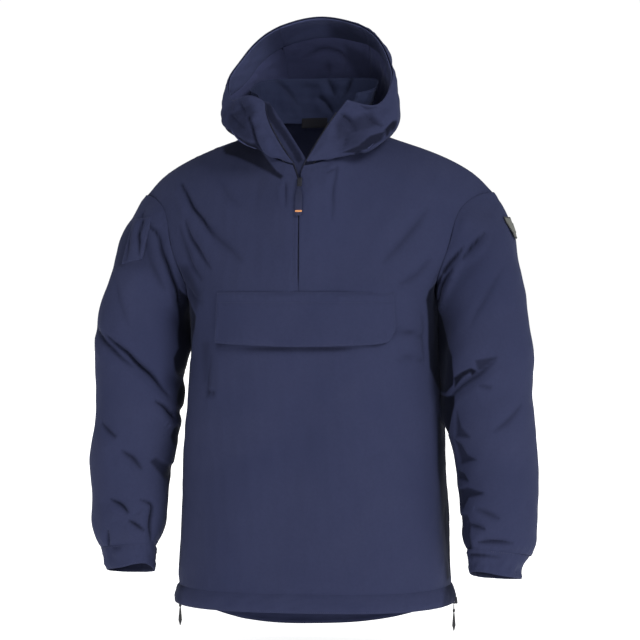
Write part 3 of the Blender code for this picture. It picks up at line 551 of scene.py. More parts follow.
@dataclass(frozen=True)
class Crease:
    """A trough pressed into a panel along a line of spots, with a ridge at its side and shade painted along
    its bottom.
    """

    face: Face
    line: tuple[Spot, ...]
    depth: float
    width: float = 0.008
    ridge: float = 0.5  # the ridge's height, as a share of the depth
    lean: float = 0.6  # from -1 to 1: which side the ridge stands on
    start: float = 0.0  # the share of its depth that it keeps at its start
    end: float = 0.0  # and at its end
    tint: float = 0.75  # how much painted shade darkens its bottom
    begin: float = RAY_START  # how far out it is dropped from: 0 for an inner wall
    wobble: float = 0.0008

    def route(self, dice: np.random.RandomState) -> Array:
        """Closely spaced spots along the line, slightly unsteady.

        Args:
            dice: Where the straying comes from.

        Returns:
            An array of x and z.
        """
        spots = np.array(self.line, float)
        steps = np.linalg.norm(np.diff(spots, axis=0), axis=1)
        run = np.concatenate([[0], np.cumsum(steps)])
        count = max(LINE_POINTS, int(run[-1] / LINE_STEP))
        at = np.linspace(0, run[-1], count)
        dense = np.stack([np.interp(at, run, spots[:, k]) for k in range(2)], axis=1)
        for _ in range(LINE_SMOOTHINGS):
            dense[1:-1] = (dense[:-2] + 2 * dense[1:-1] + dense[2:]) / 4
        turns = dice.uniform(0, 2 * math.pi, len(STRAYS))
        stray = sum(size * np.sin(at / length + turn) for (length, size), turn in zip(STRAYS, turns))
        onward = np.gradient(dense, axis=0)
        onward /= np.maximum(np.linalg.norm(onward, axis=1, keepdims=True), 1e-9)
        dense += np.stack([-onward[:, 1], onward[:, 0]], axis=1) * stray[:, None] * self.wobble
        return dense


def crease(face: Face, *spots: Spot, depth: float, **more: float) -> Crease:
    """A crease through the spots given.

    Args:
        face: The side of the garment that it is on.
        *spots: Its x and z, from one end to the other.
        depth: How deep it is, in metres.
        **more: The crease's other values.

    Returns:
        The crease.
    """
    return Crease(face, spots, depth, **more)


@dataclass(frozen=True)
class Swell:
    """A soft bulge, or a dent where its height is below 0, with shade painted on it by its tint."""

    centre: Point
    radii: Point
    height: float
    # how much painted shade it puts on the cloth at its middle
    tint: float = 0.0

    def share(self, points: Array) -> Array:
        """How much of it each point gets, from 0 to 1."""
        return nearness(points, self.centre, self.radii)


@dataclass(frozen=True)
class ShadePatch:
    """A patch with a clear outline, pressed in or turned away, whose shade is painted into the cloth's
    colour.
    """

    face: Face
    outline: tuple[Spot, ...]
    # how much painted shade it puts on the cloth
    tint: float
    depth: float = 0.0015
    soft: float = 0.0016  # half the width of its edge
    turned: tuple[float, float] = (-0.6, -0.3)  # how squarely cloth faces its side: has none of it, has all

    def share(self, points: Array, normals: Array) -> Array:
        """How much of it each point gets, from 0 to 1.

        Args:
            points: Where it is read.
            normals: Which way the cloth faces there.

        Returns:
            A share for each point.
        """
        spots = points[:, [1, 2] if self.face.sideways else [0, 2]]
        corners = np.array(self.outline)
        away, inside = np.full(len(spots), np.inf), np.zeros(len(spots), bool)
        for first, second in zip(corners, np.roll(corners, -1, axis=0)):
            span = second - first
            along = np.clip((spots - first) @ span / (span @ span), 0, 1)
            away = np.minimum(away, np.linalg.norm(spots - first - along[:, None] * span, axis=1))
            level = (first[1] > spots[:, 1]) != (second[1] > spots[:, 1])
            crossed = first[0] + (spots[:, 1] - first[1]) * span[0] / (span[1] if span[1] else 1.0)
            inside ^= level & (spots[:, 0] < crossed)
        facing = ease(normals @ np.array(self.face.value, float), *self.turned)
        return ease(np.where(inside, away, -away), -self.soft, self.soft) * facing


@dataclass(frozen=True)
class Pull:
    """A soft shift of part of a piece."""

    centre: Point
    radii: Point
    by: Point

    def shifts(self, points: Array) -> Array:
        """How far each point moves."""
        return nearness(points, self.centre, self.radii)[:, None] * np.array(self.by)


@dataclass
class Row:
    """A run of points on the cloth that thread or zip teeth follow."""

    points: Array
    across: Array


@dataclass(frozen=True)
class Seam:
    """A row beside a piece's open edges, where they run inside a box."""

    inset: float
    low: Point = (-1.0, -1.0, -2.0)
    high: Point = (1.0, 1.0, 1.0)
    trim: Trim = Trim.STITCHES


@dataclass(frozen=True)
class Extension:
    """Open edges that reach further than the others: those inside a box."""

    by: float
    low: Point = (-1.0, -1.0, -2.0)
    high: Point = (1.0, 1.0, 1.0)


# ------------------------------------------------------------------- tables


# Spots are in metres: x and z on the front and the back, y and z on the sides.
FRONT, BACK = Face.FRONT, Face.BACK

FRONT_CREASES = (
    crease(FRONT, (-0.214, -0.058), (-0.1902, -0.0914), (-0.1682, -0.1175), (-0.1504, -0.1407), depth=0.004,
           width=0.0075, start=0.3, end=0.2),
    crease(FRONT, (-0.172, -0.112), (-0.135, -0.15), (-0.0925, -0.1844), depth=0.0018, width=0.013),
    crease(FRONT, (-0.202, -0.112), (-0.1866, -0.1465), (-0.1671, -0.1735), (-0.148, -0.198), depth=0.0032,
           width=0.008),
    crease(FRONT, (-0.2107, -0.1215), (-0.2024, -0.1525), (-0.1843, -0.1933), (-0.164, -0.2162),
           depth=0.0026, width=0.013, tint=0.6),
    crease(FRONT, (-0.15, -0.045), (-0.12, -0.082), (-0.098, -0.098), depth=0.001, width=0.013),
    crease(FRONT, (-0.206, -0.214), (-0.186, -0.238), (-0.16, -0.25), depth=0.0016, width=0.01),
    crease(FRONT, (-0.1545, -0.39), (-0.147, -0.399), (-0.1335, -0.388), depth=0.0026, width=0.005,
           start=0.5),
    crease(FRONT, (-0.148, -0.322), (-0.15, -0.352), (-0.153, -0.388), depth=0.0018, width=0.012, lean=-0.5,
           end=0.6),
    crease(FRONT, (-0.022, -0.064), (-0.0215, -0.1), depth=0.002, width=0.0045, start=0.6),
    crease(FRONT, (0.0554, -0.04), (0.052, -0.08), (0.0501, -0.124), depth=0.0019, width=0.0055, start=0.5),
    crease(FRONT, (0.0383, -0.046), (0.0571, -0.0347), depth=0.0014, width=0.005),
    crease(FRONT, (0.196, -0.095), (0.168, -0.142), (0.128, -0.19), depth=0.0018, width=0.014, lean=-0.6),
    crease(FRONT, (0.203, -0.178), (0.18, -0.205), (0.15, -0.222), depth=0.0016, width=0.012, lean=-0.6),
    crease(FRONT, (0.128, -0.306), (0.15, -0.294), (0.172, -0.2955), (0.186, -0.302), depth=0.0022,
           width=0.007, start=0.4, end=0.5),
    crease(FRONT, (0.158, -0.338), (0.17, -0.3335), (0.184, -0.34), depth=0.002, width=0.006, start=0.5,
           end=0.5),
    crease(FRONT, (0.185, -0.262), (0.19, -0.3), (0.188, -0.352), depth=0.0016, width=0.01),
    crease(FRONT, (-0.178, -0.455), (-0.12, -0.49), (-0.055, -0.497), depth=0.0008, width=0.018, tint=0.0),
    crease(FRONT, (0.18, -0.44), (0.128, -0.488), (0.07, -0.505), depth=0.0008, width=0.018, tint=0.0),
    crease(FRONT, (-0.196, -0.56), (-0.15, -0.61), (-0.09, -0.632), depth=0.0008, width=0.016, tint=0.0),
    crease(FRONT, (0.196, -0.575), (0.16, -0.622), (0.108, -0.64), depth=0.0008, width=0.016, tint=0.0),
    crease(FRONT, (-0.133, -0.3165), (-0.07, -0.3215), (0.0, -0.3232), (0.07, -0.3218), (0.12, -0.3175),
           depth=0.0022, width=0.005, tint=0.95, ridge=0.0, start=0.8, end=0.6, wobble=0.0),
)
# Painted shade under the arms and beside the wearer's left sleeve, where body and sleeves shade each other.
UNDER_ARM_RIGHT = ShadePatch(FRONT, (
    (-0.2171, -0.2251), (-0.2074, -0.2347), (-0.195, -0.2463), (-0.1787, -0.2707), (-0.1835, -0.29),
    (-0.1897, -0.3096), (-0.1922, -0.3291), (-0.2, -0.35), (-0.21, -0.372), (-0.206, -0.4),
    (-0.212, -0.428), (-0.2181, -0.4289), (-0.2198, -0.4059), (-0.2192, -0.3749), (-0.221, -0.3388),
    (-0.2151, -0.3227), (-0.2177, -0.2934), (-0.2178, -0.2526)), 0.88)
UNDER_ARM_LEFT = ShadePatch(FRONT, (
    (0.219, -0.199), (0.2095, -0.2125), (0.1972, -0.2308), (0.1934, -0.2452), (0.1948, -0.2643),
    (0.1954, -0.2835), (0.1953, -0.3173), (0.1976, -0.3539), (0.2086, -0.3918), (0.2224, -0.3929),
    (0.2359, -0.3803), (0.2373, -0.369), (0.2346, -0.3342), (0.2221, -0.3092), (0.2126, -0.2787),
    (0.204, -0.2546), (0.2035, -0.24), (0.2084, -0.2259), (0.2143, -0.2132)), 0.9)
BESIDE_SLEEVE = ShadePatch(FRONT, (
    (0.2084, -0.396), (0.2238, -0.3986), (0.2386, -0.396), (0.2388, -0.4099), (0.2342, -0.4273),
    (0.2258, -0.4595), (0.213, -0.4679)), 0.95)
# Painted shade along the body's sides.
SIDES = (
    ShadePatch(FRONT,
           ((0.2075, -0.43), (0.24, -0.43), (0.24, -0.7), (0.2204, -0.6949), (0.2158, -0.6396),
            (0.2124, -0.5985), (0.211, -0.566), (0.2095, -0.535), (0.2078, -0.515), (0.2078, -0.49)), 0.82,
           0.0, 0.0018, (-0.25, 0.05)),
    ShadePatch(FRONT, ((-0.205, -0.46), (-0.24, -0.46), (-0.24, -0.7), (-0.208, -0.69), (-0.204, -0.58)), 0.32,
           0.0, 0.008, (-0.1, 0.2)),
)
# Painted shade on the front: also the shadow that the hood casts on the wearer's right shoulder, and two
# softer patches lower on that side.
FRONT_SHADE_PATCHES = (
    UNDER_ARM_RIGHT,
    UNDER_ARM_LEFT,
    BESIDE_SLEEVE,
    *SIDES,
    ShadePatch(FRONT,
           ((-0.1502, 0.005), (-0.128, 0.015), (-0.104, 0.014), (-0.0804, 0.002), (-0.0608, -0.019),
            (-0.0415, -0.0395), (-0.0277, -0.049), (-0.0329, -0.0535), (-0.0565, -0.0412),
            (-0.0851, -0.0271), (-0.1212, -0.012), (-0.1426, -0.006)), 0.8, 0.0008, 0.002),
    ShadePatch(FRONT, ((-0.165, -0.312), (-0.15, -0.312), (-0.15, -0.372), (-0.162, -0.38)), 0.26, 0.0006,
           0.006),
    ShadePatch(FRONT, ((-0.212, -0.19), (-0.196, -0.19), (-0.17, -0.235), (-0.178, -0.262), (-0.2, -0.24)),
           0.45, 0.0008, 0.008),
)
FRONT_SWELLS = (
    Swell((0.08, -0.105, -0.014), (0.018, 0.04, 0.01), -0.0016, tint=0.25),
    Swell((0.29, 0.03, -0.069), (0.026, 0.03, 0.022), -0.0022),
    Swell((-0.29, 0.03, -0.07), (0.026, 0.03, 0.022), -0.0022),
)
BACK_CREASES = (
    crease(BACK, (-0.196, -0.118), (-0.15, -0.168), (-0.098, -0.205), depth=0.0036, width=0.012),
    crease(BACK, (0.196, -0.118), (0.156, -0.16), (0.102, -0.214), depth=0.0036, width=0.012, lean=-0.6),
    crease(BACK, (-0.2, -0.19), (-0.168, -0.24), (-0.12, -0.29), depth=0.0028, width=0.011),
    crease(BACK, (0.201, -0.2), (0.172, -0.238), (0.132, -0.272), depth=0.0028, width=0.011, lean=-0.6),
    crease(BACK, (-0.205, -0.25), (-0.196, -0.31), (-0.176, -0.372), depth=0.0024, width=0.01),
    crease(BACK, (0.205, -0.25), (0.19, -0.322), (0.182, -0.372), depth=0.0024, width=0.01, lean=-0.6),
    crease(BACK, (-0.12, -0.06), (-0.04, -0.086), (0.052, -0.08), (0.118, -0.056), depth=0.0014,
           width=0.016),
    crease(BACK, (-0.184, -0.42), (-0.1, -0.448), (-0.01, -0.44), depth=0.0026, width=0.013),
    crease(BACK, (0.186, -0.405), (0.112, -0.44), (0.04, -0.458), depth=0.0024, width=0.013),
    crease(BACK, (-0.12, -0.486), (-0.03, -0.506), (0.082, -0.49), depth=0.0018, width=0.013),
    crease(BACK, (0.196, -0.52), (0.14, -0.56), (0.066, -0.572), depth=0.0016, width=0.014),
    crease(BACK, (-0.198, -0.53), (-0.15, -0.585), (-0.088, -0.604), depth=0.0016, width=0.014),
    crease(BACK, (-0.06, -0.64), (-0.056, -0.7), (-0.064, -0.742), depth=0.0012, width=0.012),
    crease(BACK, (0.098, -0.65), (0.104, -0.7), (0.099, -0.744), depth=0.0012, width=0.012),
)
SLEEVE_RIGHT_CREASES = (
    crease(FRONT, (-0.2665, -0.1251), (-0.2554, -0.1318), (-0.2476, -0.145), (-0.241, -0.1722),
           (-0.2269, -0.2039), (-0.2174, -0.2283), (-0.2155, -0.2461), depth=0.0056, width=0.007, tint=0.97,
           start=0.2, end=0.9),
    crease(FRONT, (-0.27, -0.152), (-0.256, -0.19), (-0.236, -0.232), depth=0.0022, width=0.013),
    crease(FRONT, (-0.349, -0.293), (-0.3428, -0.2987), (-0.3265, -0.3168), (-0.3026, -0.3348),
           (-0.278, -0.3546), depth=0.0036, width=0.008, start=0.5),
    crease(FRONT, (-0.321, -0.306), (-0.2918, -0.3293), (-0.2756, -0.3474), (-0.2528, -0.3693),
           (-0.2305, -0.3947), depth=0.0058, width=0.0072, tint=0.95, start=0.2, end=0.2),
    crease(FRONT, (-0.2495, -0.4067), (-0.2324, -0.4179), (-0.2232, -0.4333), depth=0.0046, width=0.006,
           end=0.8, tint=0.9),
    crease(FRONT, (-0.3403, -0.4421), (-0.3075, -0.4683), depth=0.0028, width=0.01),
    crease(FRONT, (-0.3043, -0.4881), (-0.2834, -0.5008), (-0.2679, -0.5208), depth=0.0032, width=0.0085),
    crease(FRONT, (-0.3228, -0.568), (-0.3067, -0.5733), (-0.2969, -0.5805), (-0.2899, -0.5914),
           depth=0.0036, width=0.008),
    crease(FRONT, (-0.2931, -0.6009), (-0.2794, -0.6086), (-0.2642, -0.6196), depth=0.0034, width=0.007),
    crease(FRONT, (-0.2736, -0.5662), (-0.2539, -0.5742), (-0.2546, -0.5882), (-0.2596, -0.6104),
           (-0.2588, -0.6295), depth=0.0042, width=0.0065, tint=0.85, end=0.3),
    crease(FRONT, (-0.3251, -0.615), (-0.33, -0.642), depth=0.0032, width=0.006, end=0.6),
    crease(FRONT, (-0.285, -0.098), (-0.2835, -0.119), depth=0.0036, width=0.0055, end=0.9),
    crease(FRONT, (-0.318, -0.205), (-0.306, -0.25), (-0.286, -0.288), depth=0.0012, width=0.012),
    crease(BACK, (-0.345, -0.345), (-0.29, -0.372), (-0.235, -0.42), depth=0.0044, width=0.01),
    crease(BACK, (-0.34, -0.4), (-0.3, -0.425), (-0.262, -0.452), depth=0.0032, width=0.009),
    crease(BACK, (-0.345, -0.505), (-0.3, -0.528), (-0.25, -0.56), depth=0.0038, width=0.009),
    crease(BACK, (-0.336, -0.59), (-0.3, -0.606), (-0.268, -0.606), depth=0.003, width=0.008),
    crease(BACK, (-0.272, -0.13), (-0.238, -0.182), (-0.216, -0.24), depth=0.0044, width=0.009),
)
SLEEVE_LEFT_CREASES = (
    crease(FRONT, (0.285, -0.136), (0.2718, -0.1528), (0.2608, -0.164), (0.2468, -0.1831), depth=0.004,
           width=0.006, lean=-0.6),
    crease(FRONT, (0.236, -0.193), (0.2292, -0.2022), (0.2192, -0.2149), (0.2119, -0.2267), (0.206, -0.248),
           depth=0.0054, width=0.0062, lean=-0.6, tint=0.97, end=0.8),
    crease(FRONT, (0.253, -0.1568), (0.2373, -0.1751), (0.223, -0.1926), (0.219, -0.199), depth=0.0042,
           width=0.006, lean=-0.6, tint=0.95, end=0.9),
    crease(FRONT, (0.316, -0.19), (0.29, -0.24), (0.262, -0.29), depth=0.0012, width=0.012, lean=-0.6),
    crease(FRONT, (0.236, -0.392), (0.262, -0.374), (0.284, -0.358), (0.308, -0.338), depth=0.0036,
           width=0.008, start=0.4, tint=0.5),
    crease(FRONT, (0.2767, -0.3799), (0.3021, -0.3833), depth=0.0018, width=0.009),
    crease(FRONT, (0.27, -0.574), (0.29, -0.58), (0.312, -0.592), depth=0.003, width=0.01, tint=0.5),
    crease(FRONT, (0.256, -0.601), (0.272, -0.6025), (0.29, -0.607), depth=0.0034, width=0.009, tint=0.6),
    crease(FRONT, (0.274, -0.6285), (0.2973, -0.6257), (0.3142, -0.6282), (0.332, -0.6318), depth=0.004,
           width=0.0058, tint=0.85),
    crease(FRONT, (0.346, -0.408), (0.322, -0.44), (0.3, -0.456), depth=0.002, width=0.01),
    crease(BACK, (0.345, -0.335), (0.296, -0.362), (0.236, -0.405), depth=0.0044, width=0.01, lean=-0.6),
    crease(BACK, (0.338, -0.415), (0.298, -0.43), (0.262, -0.456), depth=0.0032, width=0.009, lean=-0.6),
    crease(BACK, (0.345, -0.492), (0.298, -0.52), (0.252, -0.545), depth=0.0038, width=0.009, lean=-0.6),
    crease(BACK, (0.338, -0.585), (0.306, -0.6), (0.266, -0.602), depth=0.003, width=0.008),
    crease(BACK, (0.272, -0.13), (0.24, -0.184), (0.216, -0.24), depth=0.0044, width=0.009, lean=-0.6),
)
# Painted shade on the sleeves: under the arms and in the folds on their inner sides.
SLEEVE_SHADE_PATCHES = {
    "right": (
        UNDER_ARM_RIGHT,
        ShadePatch(FRONT,
               ((-0.2241, -0.454), (-0.2209, -0.45), (-0.218, -0.46), (-0.226, -0.487), (-0.2287, -0.4675)),
               0.8),
        ShadePatch(FRONT,
               ((-0.2568, -0.5068), (-0.2491, -0.5015), (-0.2351, -0.5142), (-0.23, -0.53),
                (-0.2376, -0.5385), (-0.245, -0.524)), 0.55, 0.0028, 0.003),
        ShadePatch(FRONT,
               ((-0.332, -0.13), (-0.29, -0.116), (-0.26, -0.142), (-0.246, -0.19), (-0.27, -0.196),
                (-0.325, -0.19)), 0.22, 0.0005, 0.012),
    ),
    "left": (
        UNDER_ARM_LEFT,
        BESIDE_SLEEVE,
        ShadePatch(FRONT,
               ((0.237, -0.369), (0.2523, -0.3593), (0.267, -0.3536), (0.2762, -0.3584), (0.269, -0.3657),
                (0.2649, -0.36), (0.2513, -0.3689), (0.2387, -0.3835)), 0.85, 0.0024),
        ShadePatch(FRONT,
               ((0.2739, -0.3409), (0.3085, -0.3353), (0.2972, -0.3448), (0.2826, -0.3568),
                (0.2779, -0.356)), 0.5, 0.002, 0.0024),
        ShadePatch(FRONT, ((0.2423, -0.4217), (0.2497, -0.4473), (0.2642, -0.4625), (0.2398, -0.4617)), 0.5,
               0.0026, 0.0026),
        ShadePatch(FRONT,
               ((0.2374, -0.467), (0.2487, -0.4735), (0.259, -0.4906), (0.2741, -0.4976),
                (0.2474, -0.5049)), 0.55, 0.0028, 0.0024),
        ShadePatch(FRONT, ((0.24, -0.5157), (0.2535, -0.5202), (0.2612, -0.5325), (0.242, -0.5295)), 0.6,
               0.0024),
        ShadePatch(FRONT,
               ((0.24, -0.5475), (0.2588, -0.5425), (0.2884, -0.5504), (0.2721, -0.5553), (0.2611, -0.5576),
                (0.2496, -0.5792), (0.245, -0.5724)), 0.6, 0.0028, 0.002),
        ShadePatch(FRONT,
               ((0.243, -0.5885), (0.2596, -0.585), (0.265, -0.6002), (0.2627, -0.6176), (0.2661, -0.6351),
                (0.2618, -0.6477), (0.248, -0.625), (0.243, -0.5956)), 0.55, 0.002, 0.0024),
    ),
}
SLEEVE_SWELLS = {
    "right": (
        Swell((-0.296, 0.03, -0.085), (0.03, 0.04, 0.022), 0.003),
        Swell((-0.21, 0.01, -0.312), (0.03, 0.045, 0.026), 0.0125, tint=0.9),
        Swell((-0.217, -0.005, -0.375), (0.03, 0.06, 0.015), -0.007),
        Swell((-0.217, -0.005, -0.4286), (0.03, 0.06, 0.009), -0.005),
    ),
    "left": (
        Swell((0.296, 0.03, -0.085), (0.03, 0.04, 0.022), 0.003),
        Swell((0.318, 0.018, -0.128), (0.022, 0.03, 0.026), -0.003),
        Swell((0.206, 0.025, -0.322), (0.03, 0.04, 0.08), 0.026, tint=0.95),
        Swell((0.214, -0.045, -0.33), (0.018, 0.036, 0.085), -0.004),
        Swell((0.222, 0.0, -0.43), (0.03, 0.06, 0.028), 0.0075),
        Swell((0.345, -0.02, -0.638), (0.03, 0.05, 0.015), 0.003),
    ),
}
CUFF_CREASES = {
    "right": (
        crease(FRONT, (-0.3249, -0.6475), (-0.3059, -0.6463), depth=0.0026, width=0.0036, tint=0.9,
               wobble=0.0002),
    ),
    "left": (
        crease(FRONT, (0.264, -0.651), (0.285, -0.6504), (0.308, -0.653), depth=0.0026, width=0.0038,
               tint=0.9, start=0.6, end=0.2, wobble=0.0003),
    ),
}
CUFF_PULLS = {
    "right": (Pull((-0.268, -0.072, -0.684), (0.032, 0.03, 0.03), (0.0, 0.0, 0.0095)),),
    "left": (
        Pull((0.272, -0.06, -0.684), (0.03, 0.04, 0.03), (0.0, 0.0, 0.005)),
        Pull((0.325, -0.03, -0.684), (0.03, 0.05, 0.03), (0.0, 0.0, -0.003)),
        Pull((0.352, -0.02, -0.675), (0.035, 0.06, 0.018), (-0.009, 0.0, 0.0)),
    ),
}
# Painted shade at the hem bands' sides.
HEM_SHADE_PATCHES = (
    ShadePatch(FRONT, ((-0.25, -0.69), (-0.198, -0.69), (-0.204, -0.745), (-0.25, -0.745)), 0.35, 0.0, 0.006),
    ShadePatch(FRONT, ((0.219, -0.7), (0.24, -0.7), (0.24, -0.74), (0.219, -0.74)), 0.45, 0.0004, 0.0012),
)
HOOD_SWELLS = {
    "right": (
        Swell((-0.118, -0.08, 0.006), (0.036, 0.06, 0.034), -0.004, tint=0.4),
        Swell((-0.052, -0.115, -0.012), (0.012, 0.04, 0.036), 0.0024),
    ),
    "left": (
        Swell((0.082, -0.095, 0.006), (0.026, 0.05, 0.03), -0.003, tint=0.35),
        Swell((0.118, -0.06, 0.014), (0.028, 0.04, 0.018), -0.002, tint=0.3),
    ),
}
# Painted shade on the hood's sides: under the lobes and in their folds.
HOOD_SHADE_PATCHES = {
    "right": (
        ShadePatch(FRONT,
               ((-0.1256, 0.0312), (-0.1039, 0.0142), (-0.0839, 0.0053), (-0.0759, 0.0059), (-0.065, -0.01),
                (-0.061, -0.03), (-0.072, -0.04), (-0.095, -0.03), (-0.13, -0.02), (-0.16, 0.005),
                (-0.145, 0.018)), 0.85, 0.001, 0.004),
        ShadePatch(FRONT,
               ((-0.1111, 0.06), (-0.0877, 0.0701), (-0.0783, 0.055), (-0.0875, 0.041), (-0.0759, 0.0059),
                (-0.1039, 0.0142), (-0.1256, 0.0312), (-0.1309, 0.0529)), 0.5, 0.001, 0.006),
        ShadePatch(FRONT,
               ((-0.15, 0.05), (-0.125, 0.072), (-0.095, 0.08), (-0.079, 0.064), (-0.0865, 0.042),
                (-0.0765, 0.007), (-0.061, -0.027), (-0.09, -0.025), (-0.13, 0.0), (-0.155, 0.025)), 0.3,
               0.0, 0.006),
    ),
    "left": (
        ShadePatch(FRONT,
               ((0.0643, -0.0121), (0.088, -0.0015), (0.108, 0.0156), (0.13, 0.0223), (0.125, 0.0084),
                (0.1046, -0.0059), (0.0951, -0.0089), (0.0898, -0.0225), (0.0827, -0.013)), 0.75, 0.002),
        ShadePatch(FRONT, ((0.129, 0.0251), (0.1404, 0.0404), (0.155, 0.042), (0.155, 0.01), (0.131, 0.0142)),
               0.85, 0.001, turned=(0.1, 0.5)),
        ShadePatch(FRONT,
               ((0.0639, 0.0531), (0.0781, 0.0436), (0.1082, 0.0537), (0.1215, 0.0374), (0.1008, 0.0241),
                (0.079, 0.0162), (0.0575, 0.0081), (0.0519, 0.0323)), 0.4, 0.0008, 0.006),
    ),
}
HOOD_CREASES = {
    "right": (
        crease(FRONT, (-0.0885, 0.045), (-0.0815, 0.022), (-0.0759, 0.0059), (-0.064, -0.015),
               (-0.05, -0.032), depth=0.0042, width=0.0075, start=0.5, end=0.4, lean=-0.8, tint=0.9),
        crease(FRONT, (-0.063, 0.031), (-0.036, -0.006), (-0.013, -0.043), depth=0.0012, width=0.005,
               start=0.5, tint=0.4),
        crease(FRONT, (-0.128, 0.06), (-0.108, 0.038), (-0.092, 0.028), depth=0.0026, width=0.007),
        crease(FRONT, (-0.112, 0.078), (-0.1, 0.06), (-0.094, 0.048), depth=0.003, width=0.007),
        crease(FRONT, (-0.14, 0.03), (-0.112, 0.004), (-0.084, -0.01), depth=0.0018, width=0.009),
    ),
    "left": (
        crease(FRONT, (0.1, -0.012), (0.118, 0.0), (0.14, 0.01), depth=0.0022, width=0.006),
        crease(FRONT, (0.058, 0.05), (0.076, 0.04), (0.086, 0.022), depth=0.0034, width=0.007),
        crease(FRONT, (0.066, 0.028), (0.072, 0.012), (0.066, -0.01), depth=0.0026, width=0.006),
        crease(FRONT, (0.096, 0.052), (0.112, 0.036), (0.128, 0.03), depth=0.003, width=0.008),
        crease(FRONT, (0.088, 0.066), (0.104, 0.06), (0.116, 0.064), depth=0.0026, width=0.006),
    ),
}
# Painted shade inside the hood's facing, on the wearer's left.
FACING_SHADE_PATCHES = (
    ShadePatch(FRONT,
           ((0.0107, 0.2163), (0.0457, 0.2169), (0.0896, 0.1851), (0.1151, 0.1369), (0.1151, 0.0957),
            (0.0874, 0.0948), (0.063, 0.1585), (0.0297, 0.1839), (0.0053, 0.1953)), 0.66, 0.0, 0.014),
)
# Painted shade inside the hood's lining, on the wearer's left.
LINING_SHADE_PATCHES = (
    ShadePatch(FRONT,
           ((0.03, 0.185), (0.063, 0.17), (0.095, 0.135), (0.11, 0.095), (0.085, 0.08), (0.06, 0.1),
            (0.045, 0.135), (0.03, 0.16)), 0.5, 0.0, 0.008),
)
# Painted shade on the zip guard in the open neck.
GUARD_SHADE_PATCHES = (
    ShadePatch(FRONT,
           ((-0.068, 0.07), (-0.0568, 0.07), (-0.0459, 0.0473), (-0.0281, 0.0241), (-0.0041, -0.0117),
            (0.0011, -0.023), (-0.0068, -0.0293), (-0.0203, -0.0067), (-0.0409, 0.0226), (-0.06, 0.0469)),
           0.72, 0.0002, 0.002),
    ShadePatch(FRONT, ((-0.07, 0.08), (-0.03, 0.08), (0.03, -0.02), (0.01, -0.08), (-0.03, -0.06)), 0.22, 0.0,
           0.002),
)
LINING_CREASES = (
    crease(FRONT, (-0.046, 0.1665), (-0.025, 0.1738), (-0.0063, 0.1788), (0.0191, 0.1736), (0.031, 0.16),
           (0.025, 0.14), depth=0.0034, width=0.007, begin=0.0, tint=0.6),
    crease(FRONT, (-0.002, 0.164), (0.002, 0.134), depth=0.0024, width=0.008, begin=0.0, tint=0.5),
)
FLAP_PULLS = (Pull((0.137, -0.13, -0.3085), (0.01, 0.2, 0.007), (0.0034, 0.0, -0.0014)),)
FLAP_SWELLS = (Swell((0.0, -0.145, -0.2325), (1.0, 0.5, 0.0045), -0.0012),)
COLLAR_PULLS = (Pull((0.06, -0.076, 0.02), (0.016, 0.016, 0.06), (0.005, -0.002, 0.0)),)
NECK_SEAM = Extension(0.006, low=(-1.0, -0.05, -1.0), high=(1.0, 1.0, 0.042))
ZIP_SLIT = Extension(-0.0008, low=(-0.004, -1.0, -0.23), high=(0.004, -0.05, -0.05))
COLLAR_CREASES = (
    crease(FRONT, (0.052, 0.126), (0.046, 0.106), (0.036, 0.088), depth=0.0036, width=0.006, begin=0.0,
           start=0.5),
    crease(FRONT, (0.01, 0.124), (0.018, 0.104), (0.024, 0.09), depth=0.0028, width=0.007, begin=0.0,
           start=0.5),
    crease(FRONT, (-0.008, 0.094), (0.004, 0.086), (0.016, 0.07), depth=0.0032, width=0.006, begin=0.0,
           end=0.6),
    crease(FRONT, (-0.07, 0.118), (-0.052, 0.1), (-0.036, 0.076), depth=0.0022, width=0.01, begin=0.0,
           start=0.4),
    crease(FRONT, (-0.04, 0.112), (0.0, 0.108), depth=0.0012, width=0.012, begin=0.0),
)
SLEEVE_ZIP = (
    crease(FRONT, (-0.2815, -0.117), (-0.2825, -0.13), (-0.2839, -0.1351), (-0.28, -0.15),
           (-0.2784, -0.1739), depth=0.0036, width=0.006, ridge=0.3, start=0.6, tint=0.85, wobble=0.0003),
    crease(FRONT, (-0.2994, -0.138), (-0.3013, -0.1821), depth=0.0022, width=0.008, ridge=0.2, start=0.3,
           end=0.3, wobble=0.0003),
)
ZIP_STITCHES = (
    crease(FRONT, (-0.0078, -0.113), (-0.0082, -0.165), (-0.008, -0.221), depth=0.0007, width=0.003,
           ridge=0.2, start=0.6, wobble=0.0001),
)
FLAP_STITCHES = (
    crease(FRONT, (-0.1315, -0.249), (-0.06, -0.2502), (0.06, -0.25), (0.1445, -0.2486), depth=0.0003,
           width=0.003, ridge=0.2, start=0.8, end=0.8, wobble=0.0001),
)
HEM_SEAMS = (Seam(0.002, high=(1.0, 1.0, -0.7245)),)
CUFF_SEAMS = (Seam(0.0018),)
HOOD_SEAMS = (Seam(0.0018),)
COLLAR_SEAMS = (Seam(0.0022, low=(-1.0, -1.0, 0.09)),)
COLLAR_FOOT = Extension(0.005, high=(1.0, 1.0, 0.075))
FLAP_SEAMS = (Seam(0.0017),)
POCKET_SEAMS = (Seam(0.0016),)
SIDE_SEAM_Y = 0.012
FRONT_TEETH = {
    "left": Seam(-0.0002, low=(-0.004, -1.0, -0.222), high=(0.055, 1.0, 1.0), trim=Trim.TEETH),
    "right": Seam(-0.0002, low=(-0.055, -1.0, -0.222), high=(0.004, 1.0, 1.0), trim=Trim.TEETH),
}
SIDE_ZIP = ((SIDE_SEAM_Y, -0.45), (SIDE_SEAM_Y, -0.6), (SIDE_SEAM_Y, -0.73))
SIDE_TEETH = {
    name: (crease(face, *SIDE_ZIP, depth=0.0, width=0.002, wobble=0.0),)
    for name, face in (("left", Face.LEFT), ("right", Face.RIGHT))
}


# ------------------------------------------------------------------ surface


